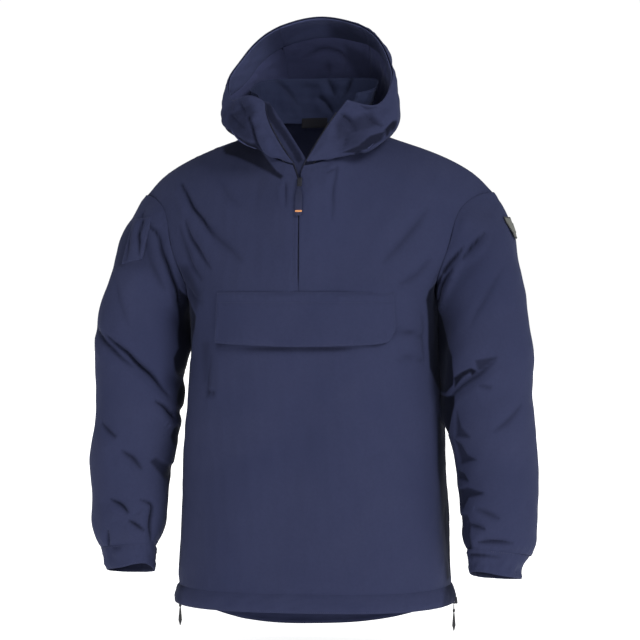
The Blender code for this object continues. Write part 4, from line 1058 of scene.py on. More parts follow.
class Surface:
    """A mesh held as arrays, with what the creases and seams need to know about it."""

    def __init__(self, mesh: bpy.types.Mesh) -> None:
        """Read the mesh.

        Args:
            mesh: An open surface whose faces point out.
        """
        self.mesh = mesh
        self.read()
        self.plant()
        self.rim_edges, self.outward = self._read_rim()
        self.from_rim = self._distances_to_rim()

    def read(self) -> None:
        """Read points and normals again."""
        count = len(self.mesh.vertices)
        flat = np.zeros(count * 3, np.float32)
        self.mesh.vertices.foreach_get("co", flat)
        self.points = flat.reshape(-1, 3).astype(float)
        flat = np.zeros(count * 3, np.float32)
        self.mesh.vertex_normals.foreach_get("vector", flat)
        self.normals = flat.reshape(-1, 3).astype(float)

    def plant(self) -> None:
        """Make the tree that rays and nearest points are looked up in."""
        self.tree = BVHTree.FromPolygons(self.points.tolist(), [f.vertices[:] for f in self.mesh.polygons])

    def raise_by(self, heights: Array) -> None:
        """Move every point along its normal.

        Args:
            heights: One distance for each point.
        """
        self.move_by(self.normals * heights[:, None])

    def move_by(self, shifts: Array) -> None:
        """Move every point.

        Args:
            shifts: One shift for each point.
        """
        moved = self.points + shifts
        self.mesh.vertices.foreach_set("co", moved.astype(np.float32).ravel())
        self.mesh.update()
        self.read()

    def _read_rim(self) -> tuple[Array, Array]:
        """Find the open edges.

        Returns:
            Each edge's two points, and for every point the direction along the surface that leads off it.
        """
        mesh = self.mesh
        edge_of = np.zeros(len(mesh.loops), np.int32)
        mesh.loops.foreach_get("edge_index", edge_of)
        ends = np.zeros(len(mesh.edges) * 2, np.int32)
        mesh.edges.foreach_get("vertices", ends)
        sizes = np.zeros(len(mesh.polygons), np.int32)
        mesh.polygons.foreach_get("loop_total", sizes)
        centres = np.zeros(len(mesh.polygons) * 3, np.float32)
        mesh.polygons.foreach_get("center", centres)
        single = np.bincount(edge_of, minlength=len(mesh.edges))[edge_of] == 1
        edges = ends.reshape(-1, 2)[edge_of[single]]
        owner = np.repeat(np.arange(len(sizes)), sizes)[single]
        away = self.points[edges].mean(axis=1) - centres.reshape(-1, 3)[owner]
        along = unit(self.points[edges[:, 1]] - self.points[edges[:, 0]])
        away = unit(away - along * np.sum(away * along, axis=1, keepdims=True))
        outward = np.zeros_like(self.points)
        for column in (0, 1):
            np.add.at(outward, edges[:, column], away)
        outward -= self.normals * np.sum(outward * self.normals, axis=1, keepdims=True)
        return edges, unit(outward)

    def _distances_to_rim(self) -> Array:
        """Plant the tree of the open edges' points, and measure from it.

        Returns:
            How far each point is from the nearest open edge's point.
        """
        rim = np.unique(self.rim_edges)
        self.rim_tree = KDTree(len(rim))
        for i in rim:
            self.rim_tree.insert(self.points[i], int(i))
        self.rim_tree.balance()
        return np.array([self.rim_tree.find(p)[2] for p in self.points])

    def openings(self) -> list[list[int]]:
        """Follow the open edges.

        Returns:
            Their points, in order round each opening.
        """
        beside: dict[int, list[int]] = {}
        for first, second in self.rim_edges.tolist():
            beside.setdefault(first, []).append(second)
            beside.setdefault(second, []).append(first)
        left, found = set(beside), []
        while left:
            ring = [min(left)]
            left.discard(ring[0])
            while True:
                onward = [i for i in beside[ring[-1]] if i in left]
                if not onward:
                    break
                ring.append(onward[0])
                left.discard(onward[0])
            found.append(ring)
        return found

    def beside_rim(self, seam: Seam) -> list[Row]:
        """The rows that a seam gives, laid on the surface as it is now.

        Args:
            seam: The seam.

        Returns:
            Its rows, each unbroken.
        """
        rows = []
        for ring in self.openings():
            run, sideways = [], []
            for index in ring + ring[:1]:
                edge, out = self.points[index], self.outward[index]
                inside = bool(within(edge, seam.low, seam.high))
                place, normal = Vector(edge - out * seam.inset), Vector(self.normals[index])
                if seam.inset > 0:
                    place, normal, _, _ = self.tree.find_nearest(place)
                    inside = inside and self.rim_tree.find(place)[2] > SEAM_CLEAR * seam.inset
                if inside:
                    run.append(place + normal * STITCH_LIFT)
                    sideways.append(out)
                else:
                    rows.append(Row(np.array(run), np.array(sideways)))
                    run, sideways = [], []
            rows.append(Row(np.array(run), np.array(sideways)))
        return [row for row in rows if len(row.points) > 3]

    def turn_under(self, out: float, down: float, extend: Optional[Extension]) -> None:
        """Turn the open edges under, so that neighbours meet with no gap between them.

        Args:
            out: How far the edge reaches past its seam.
            down: How far it sinks.
            extend: Where it reaches further.
        """
        reach = np.full(len(self.points), out)
        if extend is not None:
            reach += within(self.points, extend.low, extend.high) * extend.by
        work = bmesh.new()
        work.from_mesh(self.mesh)
        source = {v: v.index for v in work.verts}
        for far, deep in TURNED_EDGE:
            rim = [e for e in work.edges if e.is_boundary]
            made = bmesh.ops.extrude_edge_only(work, edges=rim)["geom"]
            fresh = {v for v in made if isinstance(v, bmesh.types.BMVert)}
            for vert in fresh:
                source[vert] = next(source[e.other_vert(vert)] for e in vert.link_edges
                                    if e.other_vert(vert) not in fresh)
            for vert in fresh:
                i = source[vert]
                past, sunk = self.outward[i] * reach[i] * far, self.normals[i] * down * deep
                vert.co = Vector(self.points[i] + past - sunk)
        bmesh.ops.recalc_face_normals(work, faces=work.faces)
        work.to_mesh(self.mesh)
        work.free()
        self.read()

    def drop(self, spots: Array, fold: Crease) -> tuple[Array, Array]:
        """Drop spots on the surface from the side that they face.

        Args:
            spots: Each spot.
            fold: The line that they belong to.

        Returns:
            The points that were met, and the normals there.
        """
        hits, turned = [], []
        facing = Vector(fold.face.value)
        for a, z in spots:
            start = Vector((0, a, z) if fold.face.sideways else (a, 0, z)) + facing * fold.begin
            place, normal, _, _ = self.tree.ray_cast(start, -facing)
            if place is not None:
                hits.append(place)
                turned.append(normal)
        return np.array(hits, float).reshape(-1, 3), np.array(turned, float).reshape(-1, 3)

    def press(self, fold: Crease, dice: np.random.RandomState) -> tuple[Array, Array]:
        """The heights that one crease gives, and the shade painted along it.

        Args:
            fold: The crease.
            dice: Where its unevenness comes from.

        Returns:
            A height and a painted shade for each point, mostly 0.
        """
        heights, painted_shade = np.zeros(len(self.points)), np.zeros(len(self.points))
        line, turned = self.drop(fold.route(dice), fold)
        if len(line) < 3:
            return heights, painted_shade
        reach = fold.width * SECTION_REACH
        near = within(self.points, line.min(0) - reach, line.max(0) + reach)
        near &= self.normals @ np.array(fold.face.value) > TURNED_AWAY
        if not near.any():
            return heights, painted_shade
        points = self.points[near]
        gaps = np.linalg.norm(points[:, None] - line[None], axis=2)
        nearest = gaps.argmin(axis=1)
        onward = unit(np.gradient(line, axis=0))
        across = unit(np.cross(onward, turned))
        offset = points - line[nearest]
        side = np.einsum("ij,ij->i", offset, across[nearest])
        beyond = np.abs(np.einsum("ij,ij->i", offset, onward[nearest]))
        share = nearest / (len(line) - 1)
        run = fold.start * 0.5 + share * (1 - (fold.start + fold.end) * 0.5)
        fade = np.maximum(np.sin(np.pi * run), 0) ** 0.8
        fade *= np.exp(-((beyond / fold.width) ** 2))
        width = fold.width * (0.75 + 0.5 * fade)
        trough = TROUGH_DEPTH * np.exp(-np.abs(side / (TROUGH_WIDTH * width)) ** 1.25)
        trough += CORE_DEPTH * np.exp(-((side / (CORE_WIDTH * width)) ** 2))
        ridge = sum(
            (1 + sign * fold.lean) * np.exp(-(((side * sign - RIDGE_AWAY * width) / width) ** 2))
            for sign in (1, -1)
        )
        heights[near] = CREASE_DEPTH * fold.depth * fade * (0.5 * fold.ridge * ridge - trough)
        # Shade painted into the crease's bottom, fuller for deeper creases.
        darkness = fold.tint * min(1.0, fold.depth / FULL_DEPTH) ** 1.3
        painted_shade[near] = darkness * fade**0.7 * np.exp(-np.abs(side / (SHADE_TINT_WIDTH * width)) ** 1.4)
        return heights, painted_shade


# ------------------------------------------------------------------- pieces


@dataclass(frozen=True)
class Axis:
    """The line or point that a piece wraps round, and the side where its UV map is cut."""

    centre: Point
    along: Point = (0.0, 0.0, 1.0)
    facing: Point = (0.0, -1.0, 0.0)
    radius: float = 0.15

    def frame(self) -> tuple[Array, Array, Array, Array]:
        """Work out its directions.

        Returns:
            The centre and three unit directions: along, facing and across.
        """
        along = unit(np.array(self.along, float))
        facing = np.array(self.facing, float)
        facing = unit(facing - along * (facing @ along))
        return np.array(self.centre, float), along, facing, np.cross(facing, along)


@dataclass
class ClothPiece:
    """One cut-and-sewn piece: a fine shell on its solid's form."""

    node: str
    cut: tuple[float, float]  # width and length of the cloth before sewing
    share: float  # how much of that rectangle is cloth
    axis: Axis
    finish: bpy.types.Material
    slot: str = "shell_cloth"
    side: Side = Side.OUT
    inside: Point = (0.0, 0.03, 0.0)  # a point that the wall's outer side faces away from
    level: bool = True  # whether that point is level with the piece
    smooth: int = 2
    wall: float = 0.0016
    reverse: Optional[bpy.types.Material] = None  # the inner side of its wall, where that shows: a darker cloth, painted shade inside it
    creases: tuple[Crease, ...] = ()
    swells: tuple[Swell, ...] = ()
    shade_patches: tuple[ShadePatch, ...] = ()
    # patches pressed in, with shade painted into them
    pulls: tuple[Pull, ...] = ()
    puff: float = 0.0012  # how far the cloth stands out between its seams
    puff_reach: float = 0.016
    sway: tuple[float, float] = (0.10, 0.0010)  # long soft waves: length, height
    crumple: tuple[float, float] = (0.030, 0.00025)
    pucker: tuple[float, float] = (0.011, 0.00035)  # beside the seams
    tuck: tuple[float, float] = (0.0010, 0.0015)  # how far its edges reach out and under
    extend: Optional[Extension] = None
    seams: tuple[Seam, ...] = ()
    stitched: tuple[Crease, ...] = ()  # creases with a row of stitches in them
    trim: Trim = Trim.STITCHES  # what lies in those
    held: str = "hung"
    seed: int = 1
    surface: Optional[Surface] = field(default=None, repr=False)
    rows: dict[Trim, list[Row]] = field(default_factory=dict, repr=False)

    def wall_mesh(self) -> bpy.types.Mesh:
        """The side of the solid's wall that shows, as quads.

        Returns:
            An open mesh whose faces point out.
        """
        source = bpy.data.objects[self.node].data
        work = bmesh.new()
        work.from_mesh(source)
        bmesh.ops.remove_doubles(work, verts=work.verts, dist=WELD)
        work.faces.ensure_lookup_table()
        centre = Vector(self.inside)
        if self.level:
            centre.z = sum(v.co.z for v in work.verts) / len(work.verts)
        patches, seen = [], set()
        for first in work.faces:
            if first.index in seen:
                continue
            seen.add(first.index)
            patch = [first]
            for face in patch:
                for edge in face.edges:
                    if len(edge.link_faces) != 2 or edge.calc_face_angle(0) > SHARP:
                        continue
                    for other in edge.link_faces:
                        if other.index not in seen:
                            seen.add(other.index)
                            patch.append(other)
            patches.append(patch)

        def turned_out(patch: list[bmesh.types.BMFace]) -> float:
            """How much a patch faces away from the centre."""
            return sum(f.calc_area() * f.normal.dot(f.calc_center_median() - centre) for f in patch)

        skin = sum(f.calc_area() for f in work.faces)
        keep = {
            f.index
            for patch in patches
            if sum(f.calc_area() for f in patch) > WALL_SHARE * skin
            and self.side.value * turned_out(patch) > 0
            for f in patch
        }
        bmesh.ops.delete(work, geom=[f for f in work.faces if f.index not in keep], context="FACES")
        bmesh.ops.join_triangles(
            work, faces=work.faces[:], angle_face_threshold=QUAD_TURN, angle_shape_threshold=QUAD_SKEW
        )
        mesh = bpy.data.meshes.new(self.node + "_wall")
        work.to_mesh(mesh)
        work.free()
        return mesh

    def refine(self, mesh: bpy.types.Mesh) -> bpy.types.Mesh:
        """Subdivide the wall.

        Args:
            mesh: The coarse wall.

        Returns:
            The fine one.
        """
        carrier = put(self.node + "_work", mesh)
        rounding = carrier.modifiers.new("rounding", "SUBSURF")
        rounding.levels = rounding.render_levels = max(1, self.smooth - (0))
        rounding.boundary_smooth = "PRESERVE_CORNERS"
        fine = bake(carrier)
        bpy.data.objects.remove(carrier)
        return fine

    def shape(self) -> None:
        """Grow, puff, crease and crumple the cloth, and paint shade into it."""
        self.surface = Surface(self.refine(self.wall_mesh()))
        dice = np.random.RandomState(self.seed)
        skin = self.surface
        inner = ease(skin.from_rim, STILL_EDGE, self.puff_reach)
        heights = self.puff * np.sqrt(inner)
        heights += waves(skin.points, *self.sway, dice) * inner
        heights += waves(skin.points, *self.crumple, dice, FINE_WAVES) * inner
        beside = ease(skin.from_rim, 0.0, PUCKER_START) * np.exp(-skin.from_rim / PUCKER_REACH)
        heights += waves(skin.points, *self.pucker, dice, FINE_WAVES) * beside
        # Shade painted into the cloth by creases, swells and patches, kept as a point attribute for its
        # material.
        painted_shade = np.zeros(len(skin.points))
        for folds, whole in ((self.creases, CREASES_WHOLE), (self.stitched, STITCHED_WHOLE)):
            for fold in folds:
                pressed, dark = skin.press(fold, dice)
                heights += pressed * ease(skin.from_rim, EDGE_DEPTH, whole)
                painted_shade = np.maximum(painted_shade, dark)
        for swell in self.swells:
            share = swell.share(skin.points)
            heights += share * swell.height
            painted_shade = np.maximum(painted_shade, share * swell.tint)
        skin.raise_by(heights)
        for pull in self.pulls:
            skin.move_by(pull.shifts(skin.points))
        sunk = np.zeros(len(skin.points))
        for patch in self.shade_patches:
            share = patch.share(skin.points, skin.normals)
            sunk = np.maximum(sunk, share * patch.depth)
            painted_shade = np.maximum(painted_shade, share * patch.tint)
        if self.shade_patches:
            skin.raise_by(-sunk)
        layer = skin.mesh.attributes.new("painted_shade", "FLOAT", "POINT")
        layer.data.foreach_set("value", np.clip(painted_shade, 0, 1).astype(np.float32))
        if self.seams or self.stitched:
            skin.plant()
            self.lay_rows(dice)
        skin.turn_under(*self.tuck, self.extend)

    def lay_rows(self, dice: np.random.RandomState) -> None:
        """Find where the stitches and teeth run.

        Args:
            dice: Where the lines' unevenness comes from.
        """
        for seam in self.seams:
            self.rows.setdefault(seam.trim, []).extend(self.surface.beside_rim(seam))
        for fold in self.stitched:
            line, turned = self.surface.drop(fold.route(dice), fold)
            if len(line) > 3:
                onward = unit(np.gradient(line, axis=0))
                row = Row(line + turned * STITCH_LIFT, np.cross(onward, turned))
                self.rows.setdefault(self.trim, []).append(row)

    def unwrap(self) -> None:
        """Give the shell a UV map in metres, wrapped round its axis."""
        mesh, (centre, along, facing, across) = self.surface.mesh, self.axis.frame()
        offset = self.surface.points - centre
        angle = np.arctan2(offset @ across, offset @ facing)
        layer = mesh.uv_layers.new(name="cloth")
        corners = np.zeros(len(mesh.loops), np.int32)
        mesh.loops.foreach_get("vertex_index", corners)
        starts = np.zeros(len(mesh.polygons), np.int32)
        sizes = np.zeros(len(mesh.polygons), np.int32)
        mesh.polygons.foreach_get("loop_start", starts)
        mesh.polygons.foreach_get("loop_total", sizes)
        turn = angle[corners]
        first = np.repeat(turn[starts], sizes)
        turn = turn + 2 * math.pi * np.round((first - turn) / (2 * math.pi))
        spots = np.stack([turn * self.axis.radius, (offset @ along)[corners]], axis=1)
        layer.data.foreach_set("uv", spots.astype(np.float32).ravel())

    def build(self) -> bpy.types.Object:
        """Make the finished piece, parent it to the garment's body and hide its solid.

        Returns:
            The piece.
        """
        self.shape()
        self.unwrap()
        mesh = self.surface.mesh
        mesh.materials.clear()
        mesh.materials.append(self.finish)
        if self.reverse:
            mesh.materials.append(self.reverse)
        mesh.shade_smooth()
        piece = put(self.node + "_cloth", mesh.copy())
        wall = piece.modifiers.new("wall", "SOLIDIFY")
        wall.thickness = self.wall
        wall.offset = -1
        wall.use_rim = True
        wall.material_offset = 1 if self.reverse else 0
        settle(piece)
        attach(piece, BODY)
        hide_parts(self.node)
        log.info("%s: %d faces", piece.name, len(piece.data.polygons))
        return piece


# ------------------------------------------------------------------- sewing


class RowTree:
    """A Geometry Nodes tree that sets small round-ended shapes along edges."""

    def __init__(self, name: str, across: bool) -> None:
        """Build the tree.

        Args:
            name: Its name.
            across: Whether each shape's width follows the edges' "across" attribute.
        """
        self.tree = bpy.data.node_groups.new(name, "GeometryNodeTree")
        face = self.tree.interface
        face.new_socket("Geometry", in_out="INPUT", socket_type="NodeSocketGeometry")
        face.new_socket("Geometry", in_out="OUTPUT", socket_type="NodeSocketGeometry")
        self.sockets = {
            label: face.new_socket(label, in_out="INPUT", socket_type=kind)
            for label, kind in (
                ("Pitch", "NodeSocketFloat"),
                ("Size", "NodeSocketVector"),
                ("Unevenness", "NodeSocketFloat"),
                ("Seed", "NodeSocketInt"),
                ("Material", "NodeSocketMaterial"),
            )
        }
        self._wire(across)

    def _add(self, kind: str, **links: object) -> bpy.types.Node:
        """Add one node.

        Args:
            kind: The node's type name.
            **links: Its inputs by name, with _ for a space, as sockets or constants.

        Returns:
            The new node.
        """
        node = self.tree.nodes.new(kind)
        for key, value in links.items():
            socket = node.inputs[key.replace("_", " ")]
            if isinstance(value, bpy.types.NodeSocket):
                self.tree.links.new(value, socket)
            else:
                socket.default_value = value
        return node

    def _wire(self, across: bool) -> None:
        """Join the nodes.

        Args:
            across: Whether each shape's width follows the edges' "across" attribute.
        """
        given = self._add("NodeGroupInput")
        line = self._add("GeometryNodeMeshToCurve", Mesh=given.outputs["Geometry"])
        spaced = self._add("GeometryNodeResampleCurve", Curve=line.outputs["Curve"])
        spaced.mode = "LENGTH"
        self.tree.links.new(given.outputs["Pitch"], spaced.inputs["Length"])
        onward = self._add("GeometryNodeInputTangent")
        turned = self._add("FunctionNodeAlignRotationToVector", Vector=onward.outputs["Tangent"])
        turned.axis = "X"
        rotation = turned.outputs["Rotation"]
        if across:
            named = self._add("GeometryNodeInputNamedAttribute", Name="across")
            named.data_type = "FLOAT_VECTOR"
            second = self._add("FunctionNodeAlignRotationToVector", Rotation=rotation,
                               Vector=named.outputs["Attribute"])
            second.axis, second.pivot_axis = "Y", "X"
            rotation = second.outputs["Rotation"]
        low = self._add("ShaderNodeMath")
        low.operation = "SUBTRACT"
        low.inputs[0].default_value = 1.0
        self.tree.links.new(given.outputs["Unevenness"], low.inputs[1])
        random = self._add("FunctionNodeRandomValue", Seed=given.outputs["Seed"])
        random.data_type = "FLOAT"
        floats = [s for s in random.inputs if s.type == "VALUE"]
        self.tree.links.new(low.outputs[0], floats[0])
        floats[1].default_value = 1.0
        self.tree.links.new(given.outputs["Seed"], random.inputs["Seed"])
        ball = self._add("GeometryNodeMeshUVSphere", Segments=6, Rings=4, Radius=0.5)
        shaped = self._add("GeometryNodeTransform", Geometry=ball.outputs["Mesh"],
                           Scale=given.outputs["Size"])
        value = next(s for s in random.outputs if s.type == "VALUE" and s.enabled)
        placed = self._add("GeometryNodeInstanceOnPoints", Points=spaced.outputs["Curve"],
                           Instance=shaped.outputs["Geometry"], Rotation=rotation, Scale=value)
        real = self._add("GeometryNodeRealizeInstances", Geometry=placed.outputs["Instances"])
        smooth = self._add("GeometryNodeSetShadeSmooth", Geometry=real.outputs["Geometry"])
        dressed = self._add("GeometryNodeSetMaterial", Geometry=smooth.outputs["Geometry"],
                            Material=given.outputs["Material"])
        self._add("NodeGroupOutput", Geometry=dressed.outputs["Geometry"])


@dataclass
class Sewing:
    """Rows of one kind of small shape."""

    kind: Trim
    tree: RowTree
    material: bpy.types.Material
    pitch: float
    size: Point
    unevenness: float
    slot: str
    seed: int = 3

    def build(self, node: str, rows: Sequence[Row]) -> bpy.types.Object:
        """Run the tree over one piece's rows.

        Args:
            node: The piece that carries them.
            rows: Where they run.

        Returns:
            The stitches or teeth, as one piece.
        """
        name = f"{node}_{self.kind.value}"
        mesh = bpy.data.meshes.new(name)
        places, edges = [], []
        for row in rows:
            first = len(places)
            places += row.points.tolist()
            edges += [(first + i, first + i + 1) for i in range(len(row.points) - 1)]
        mesh.from_pydata(places, edges, [])
        attribute = mesh.attributes.new("across", "FLOAT_VECTOR", "POINT")
        sideways = np.concatenate([row.across for row in rows])
        attribute.data.foreach_set("vector", sideways.astype(np.float32).ravel())
        piece = put(name, mesh)
        nodes = piece.modifiers.new("rows", "NODES")
        nodes.node_group = self.tree.tree
        for label, value in (("Pitch", self.pitch), ("Size", self.size), ("Unevenness", self.unevenness),
                             ("Seed", self.seed), ("Material", self.material)):
            nodes[self.tree.sockets[label].identifier] = value
        settle(piece)
        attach(piece, BODY)
        log.info("%s: %d rows, %d faces", name, len(rows), len(piece.data.polygons))
        return piece


# ----------------------------------------------------------------- fittings


def tube(work: bmesh.types.BMesh, line: Sequence[Point], radius: float, sides: int = 10) -> None:
    """Add a round bar along a line, closed at its ends.

    Args:
        work: What it is added to.
        line: The middle of the bar.
        radius: Its radius.
        sides: How many sides it has.
    """
    points = np.array(line, float)
    onward = unit(np.gradient(points, axis=0))
    rings = []
    for point, forward in zip(points, onward):
        first = unit(np.cross(forward, (1.0, 0.0, 0.0) if abs(forward[0]) < 0.9 else (0.0, 0.0, 1.0)))
        second = np.cross(forward, first)
        turns = np.linspace(0, 2 * math.pi, sides, endpoint=False)
        ring = [point + radius * (math.cos(a) * first + math.sin(a) * second) for a in turns]
        rings.append([work.verts.new(spot) for spot in ring])
    for low, high in zip(rings, rings[1:]):
        for k in range(sides):
            work.faces.new((low[k], low[(k + 1) % sides], high[(k + 1) % sides], high[k]))
    work.faces.new(rings[0][::-1])
    work.faces.new(rings[-1])


@dataclass
class Fitting:
    """A hard piece: its solid's form with rounded edges, and what stands on it."""

    node: str
    body: str
    finishes: tuple[bpy.types.Material, ...]
    slot: str
    rounding: float = 0.0004

    def form(self) -> bmesh.types.BMesh:
        """Read the solid's form and round its edges.

        Returns:
            The form.
        """
        work = bmesh.new()
        work.from_mesh(bpy.data.objects[self.node].data)
        bmesh.ops.remove_doubles(work, verts=work.verts, dist=WELD)
        bmesh.ops.dissolve_limit(work, angle_limit=FLAT_TURN, verts=work.verts, edges=work.edges)
        edges = [e for e in work.edges if e.calc_face_angle(0) > EDGE_TURN]
        bmesh.ops.bevel(work, geom=edges, offset=self.rounding, offset_type="OFFSET", segments=3,
                        profile=0.5, affect="EDGES", clamp_overlap=True)
        return work

    def detail(self, work: bmesh.types.BMesh) -> None:
        """Add what stands on it.

        Args:
            work: The form so far.
        """

    def build(self) -> bpy.types.Object:
        """Make the piece, parent it to its body and hide its solid.

        Returns:
            The piece.
        """
        work = self.form()
        self.detail(work)
        bmesh.ops.recalc_face_normals(work, faces=work.faces)
        mesh = bpy.data.meshes.new(self.node + "_fitting")
        work.to_mesh(mesh)
        work.free()
        for finish in self.finishes:
            mesh.materials.append(finish)
        mesh.shade_smooth()
        mesh.set_sharp_from_angle(angle=SHADE_TURN)
        piece = put(mesh.name, mesh)
        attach(piece, self.body)
        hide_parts(self.node)
        log.info("%s: %d faces", piece.name, len(mesh.polygons))
        return piece


@dataclass
class FrontSlider(Fitting):
    """The half-zip's slider, with the bridge that carries the puller."""

    bridge: float = 0.0011  # how far it stands out
    wire: float = 0.0006
    half: float = 0.36  # of its own height: half the bridge's length

    def detail(self, work: bmesh.types.BMesh) -> None:
        """Arch a bridge over its face.

        Args:
            work: The form so far.
        """
        low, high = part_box(self.node)
        turns = np.linspace(0, math.pi, 13)
        middle, half = (low[2] + high[2]) / 2, (high[2] - low[2]) * self.half
        tube(work, [(0.0, low[1] + self.wire - self.bridge * math.sin(a), middle + half * math.cos(a))
                    for a in turns], self.wire)


@dataclass
class FrontPuller(Fitting):
    """The moulded puller, with an eye at its top and ribs to grip."""

    eye: float = 0.0016
    rib: float = 0.00035
    ribs: int = 5
    rib_pitch: float = 0.0034
    thick: float = 0.0018
    eye_down: float = 0.0030  # from its top
    rib_half: float = 0.36  # of its width: half a rib's length
    first_rib: float = 0.42  # of its height: how far down the first rib is

    def detail(self, work: bmesh.types.BMesh) -> None:
        """Add the eye's rim and the ribs on the outer face.

        Args:
            work: The form so far.
        """
        low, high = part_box(self.node)
        tall = high[2] - low[2]
        lean = (high[1] - low[1] - self.thick) / tall

        def face(z: float) -> float:
            """Where the outer face is at a height."""
            return high[1] - self.thick - (high[2] - z) * lean

        turns = np.linspace(0, 2 * math.pi, 17)
        centre = high[2] - self.eye_down
        rim = [(self.eye * math.cos(a), centre + self.eye * math.sin(a)) for a in turns]
        tube(work, [(x, face(z), z) for x, z in rim], self.rib)
        wide = (high[0] - low[0]) * self.rib_half
        for k in range(self.ribs):
            z = high[2] - tall * self.first_rib - k * self.rib_pitch
            tube(work, [(x, face(z), z) for x in np.linspace(-wide, wide, 5)], self.rib, 8)


@dataclass
class Badge(Fitting):
    """The bare arm badge, with a raised border."""

    border: float = 0.0022
    sunk: float = 0.0004
    lift: float = 0.0003  # it stands this much further out than its solid
    squarely: float = 0.6  # its outer faces look at least this squarely to the wearer's left
    least: float = 2e-6  # and are larger than this, which its rounded edges aren't

    def detail(self, work: bmesh.types.BMesh) -> None:
        """Sink the field inside the border and give it the second finish.

        Args:
            work: The form so far.
        """
        outer = [f for f in work.faces if f.normal.x > self.squarely and f.calc_area() > self.least]
        made = bmesh.ops.inset_region(work, faces=outer, thickness=self.border, depth=-self.sunk)
        ring = set(made["faces"])
        for face in outer:
            if face not in ring:
                face.material_index = 1
        for vertex in work.verts:
            vertex.co.x += self.lift


# ------------------------------------------------------------------- studio


@dataclass(frozen=True)
class Sun:
    """A wide soft light, so far away that it is even over the floor."""

    name: str
    source: Point  # the direction that it comes from
    strength: float
    spread: float  # how wide it looks, in degrees

    def hang(self) -> None:
        """Add it to the scene."""
        data = bpy.data.lights.new(self.name, "SUN")
        data.energy = self.strength
        data.angle = math.radians(self.spread)
        lamp = put(self.name, data)
        lamp.location = Vector(self.source) * SUN_AWAY
        lamp.rotation_euler = Vector(self.source).to_track_quat("Z", "Y").to_euler()


SUNS = (
    Sun("key", (1.05, -0.78, 0.90), 1.95, 24),
    Sun("front", (0.08, -1.0, 0.05), 0.58, 40),
    Sun("fill", (-0.8, -0.6, 1.00), 0.42, 80),
    Sun("rear", (-0.2, 1.0, 0.9), 0.28, 80),
)


@dataclass
class Studio:
    """The plain surroundings: camera, light and floor."""

    azimuth: float = 10.0
    distance: float = 4.2
    lens: float = 144.9
    sensor: float = 36.0
    target_z: float = -0.2771
    aim_right: float = 0.009
    floor_below: float = 0.020
    floor_radius: float = 40.0
    sky: float = 0.17
    floor_tones: tuple[Colour, Colour] = ((0.93, 0.93, 0.93), (0.95, 0.95, 0.95))
    floor_glow: float = 0.92  # keeps the floor as white as what is behind it
    backdrop: float = 1.02

    def camera(self) -> None:
        """Set the camera at the height of the chest, a little to the wearer's left."""
        turn = math.radians(self.azimuth)
        right = Vector((math.cos(turn), math.sin(turn), 0))
        back = Vector((math.sin(turn), -math.cos(turn), 0))
        data = bpy.data.cameras.new("camera")
        data.lens = self.lens
        data.sensor_width = self.sensor
        data.clip_end = 100
        camera = put("camera", data)
        target = Vector((0, 0, self.target_z)) + right * self.aim_right
        camera.location = target + back * self.distance
        camera.rotation_euler = (math.radians(90), 0, turn)
        bpy.context.scene.camera = camera

    def light(self) -> None:
        """White surroundings, with a soft light from the viewer's right and a weaker one opposite."""
        world = bpy.data.worlds.new("studio")
        world.use_nodes = True
        tree = world.node_tree
        backdrop = tree.nodes["Background"]
        backdrop.inputs["Color"].default_value = (1, 1, 1, 1)
        backdrop.inputs["Strength"].default_value = self.backdrop
        sky = tree.nodes.new("ShaderNodeBackground")
        sky.inputs["Strength"].default_value = self.sky
        seen = tree.nodes.new("ShaderNodeLightPath")
        mix = tree.nodes.new("ShaderNodeMixShader")
        tree.links.new(seen.outputs["Is Camera Ray"], mix.inputs["Fac"])
        tree.links.new(sky.outputs["Background"], mix.inputs[1])
        tree.links.new(backdrop.outputs["Background"], mix.inputs[2])
        tree.links.new(mix.outputs["Shader"], tree.nodes["World Output"].inputs["Surface"])
        bpy.context.scene.world = world
        for sun in SUNS:
            sun.hang()

    def floor(self, below: float) -> None:
        """A wide round floor.

        Args:
            below: The height of the lowest point of the object.
        """
        bench = NodeBench("studio_floor")
        patches = bench.spread(bench.noise(scale=0.6), low=0.0, high=1.0)
        tone = bench.blend(patches, *self.floor_tones)
        material = bench.finish(Base_Color=tone, Roughness=0.9, Emission_Color=(1, 1, 1, 1),
                                Emission_Strength=self.floor_glow)
        work = bmesh.new()
        bmesh.ops.create_circle(work, cap_ends=True, segments=96, radius=self.floor_radius)
        for vertex in work.verts:
            vertex.co.z = below - self.floor_below
        mesh = bpy.data.meshes.new("floor")
        work.to_mesh(mesh)
        work.free()
        mesh.materials.append(material)
        put("floor", mesh)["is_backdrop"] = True

    def build(self, below: float) -> None:
        """Make the studio.

        Args:
            below: The height of the lowest point of the object.
        """
        self.camera()
        self.light()
        self.floor(below)
        bpy.context.scene.view_settings.view_transform = "Standard"
        log.info("studio built")


# ------------------------------------------------------------------ garment


TRUNK = Axis((0.0, 0.0, 0.0), radius=0.185)
TRUNK_BACK = Axis((0.0, 0.0, 0.0), facing=(0.0, 1.0, 0.0), radius=0.185)
SLEEVES = {
    side: Axis((side * 0.262, -0.005, -0.16), (side * 0.07, -0.035, -0.53), (0.0, 1.0, 0.0), 0.070)
    for side in (-1, 1)
}
HOOD_AXIS = Axis((0.0, 0.05, 0.0), facing=(0.0, 1.0, 0.0), radius=0.12)
CROWN = Axis((0.0, 0.10, 0.10), (1.0, 0.0, 0.0), (0.0, 0.0, 1.0), 0.10)
SIDES_BY_NAME = (("left", 1), ("right", -1))


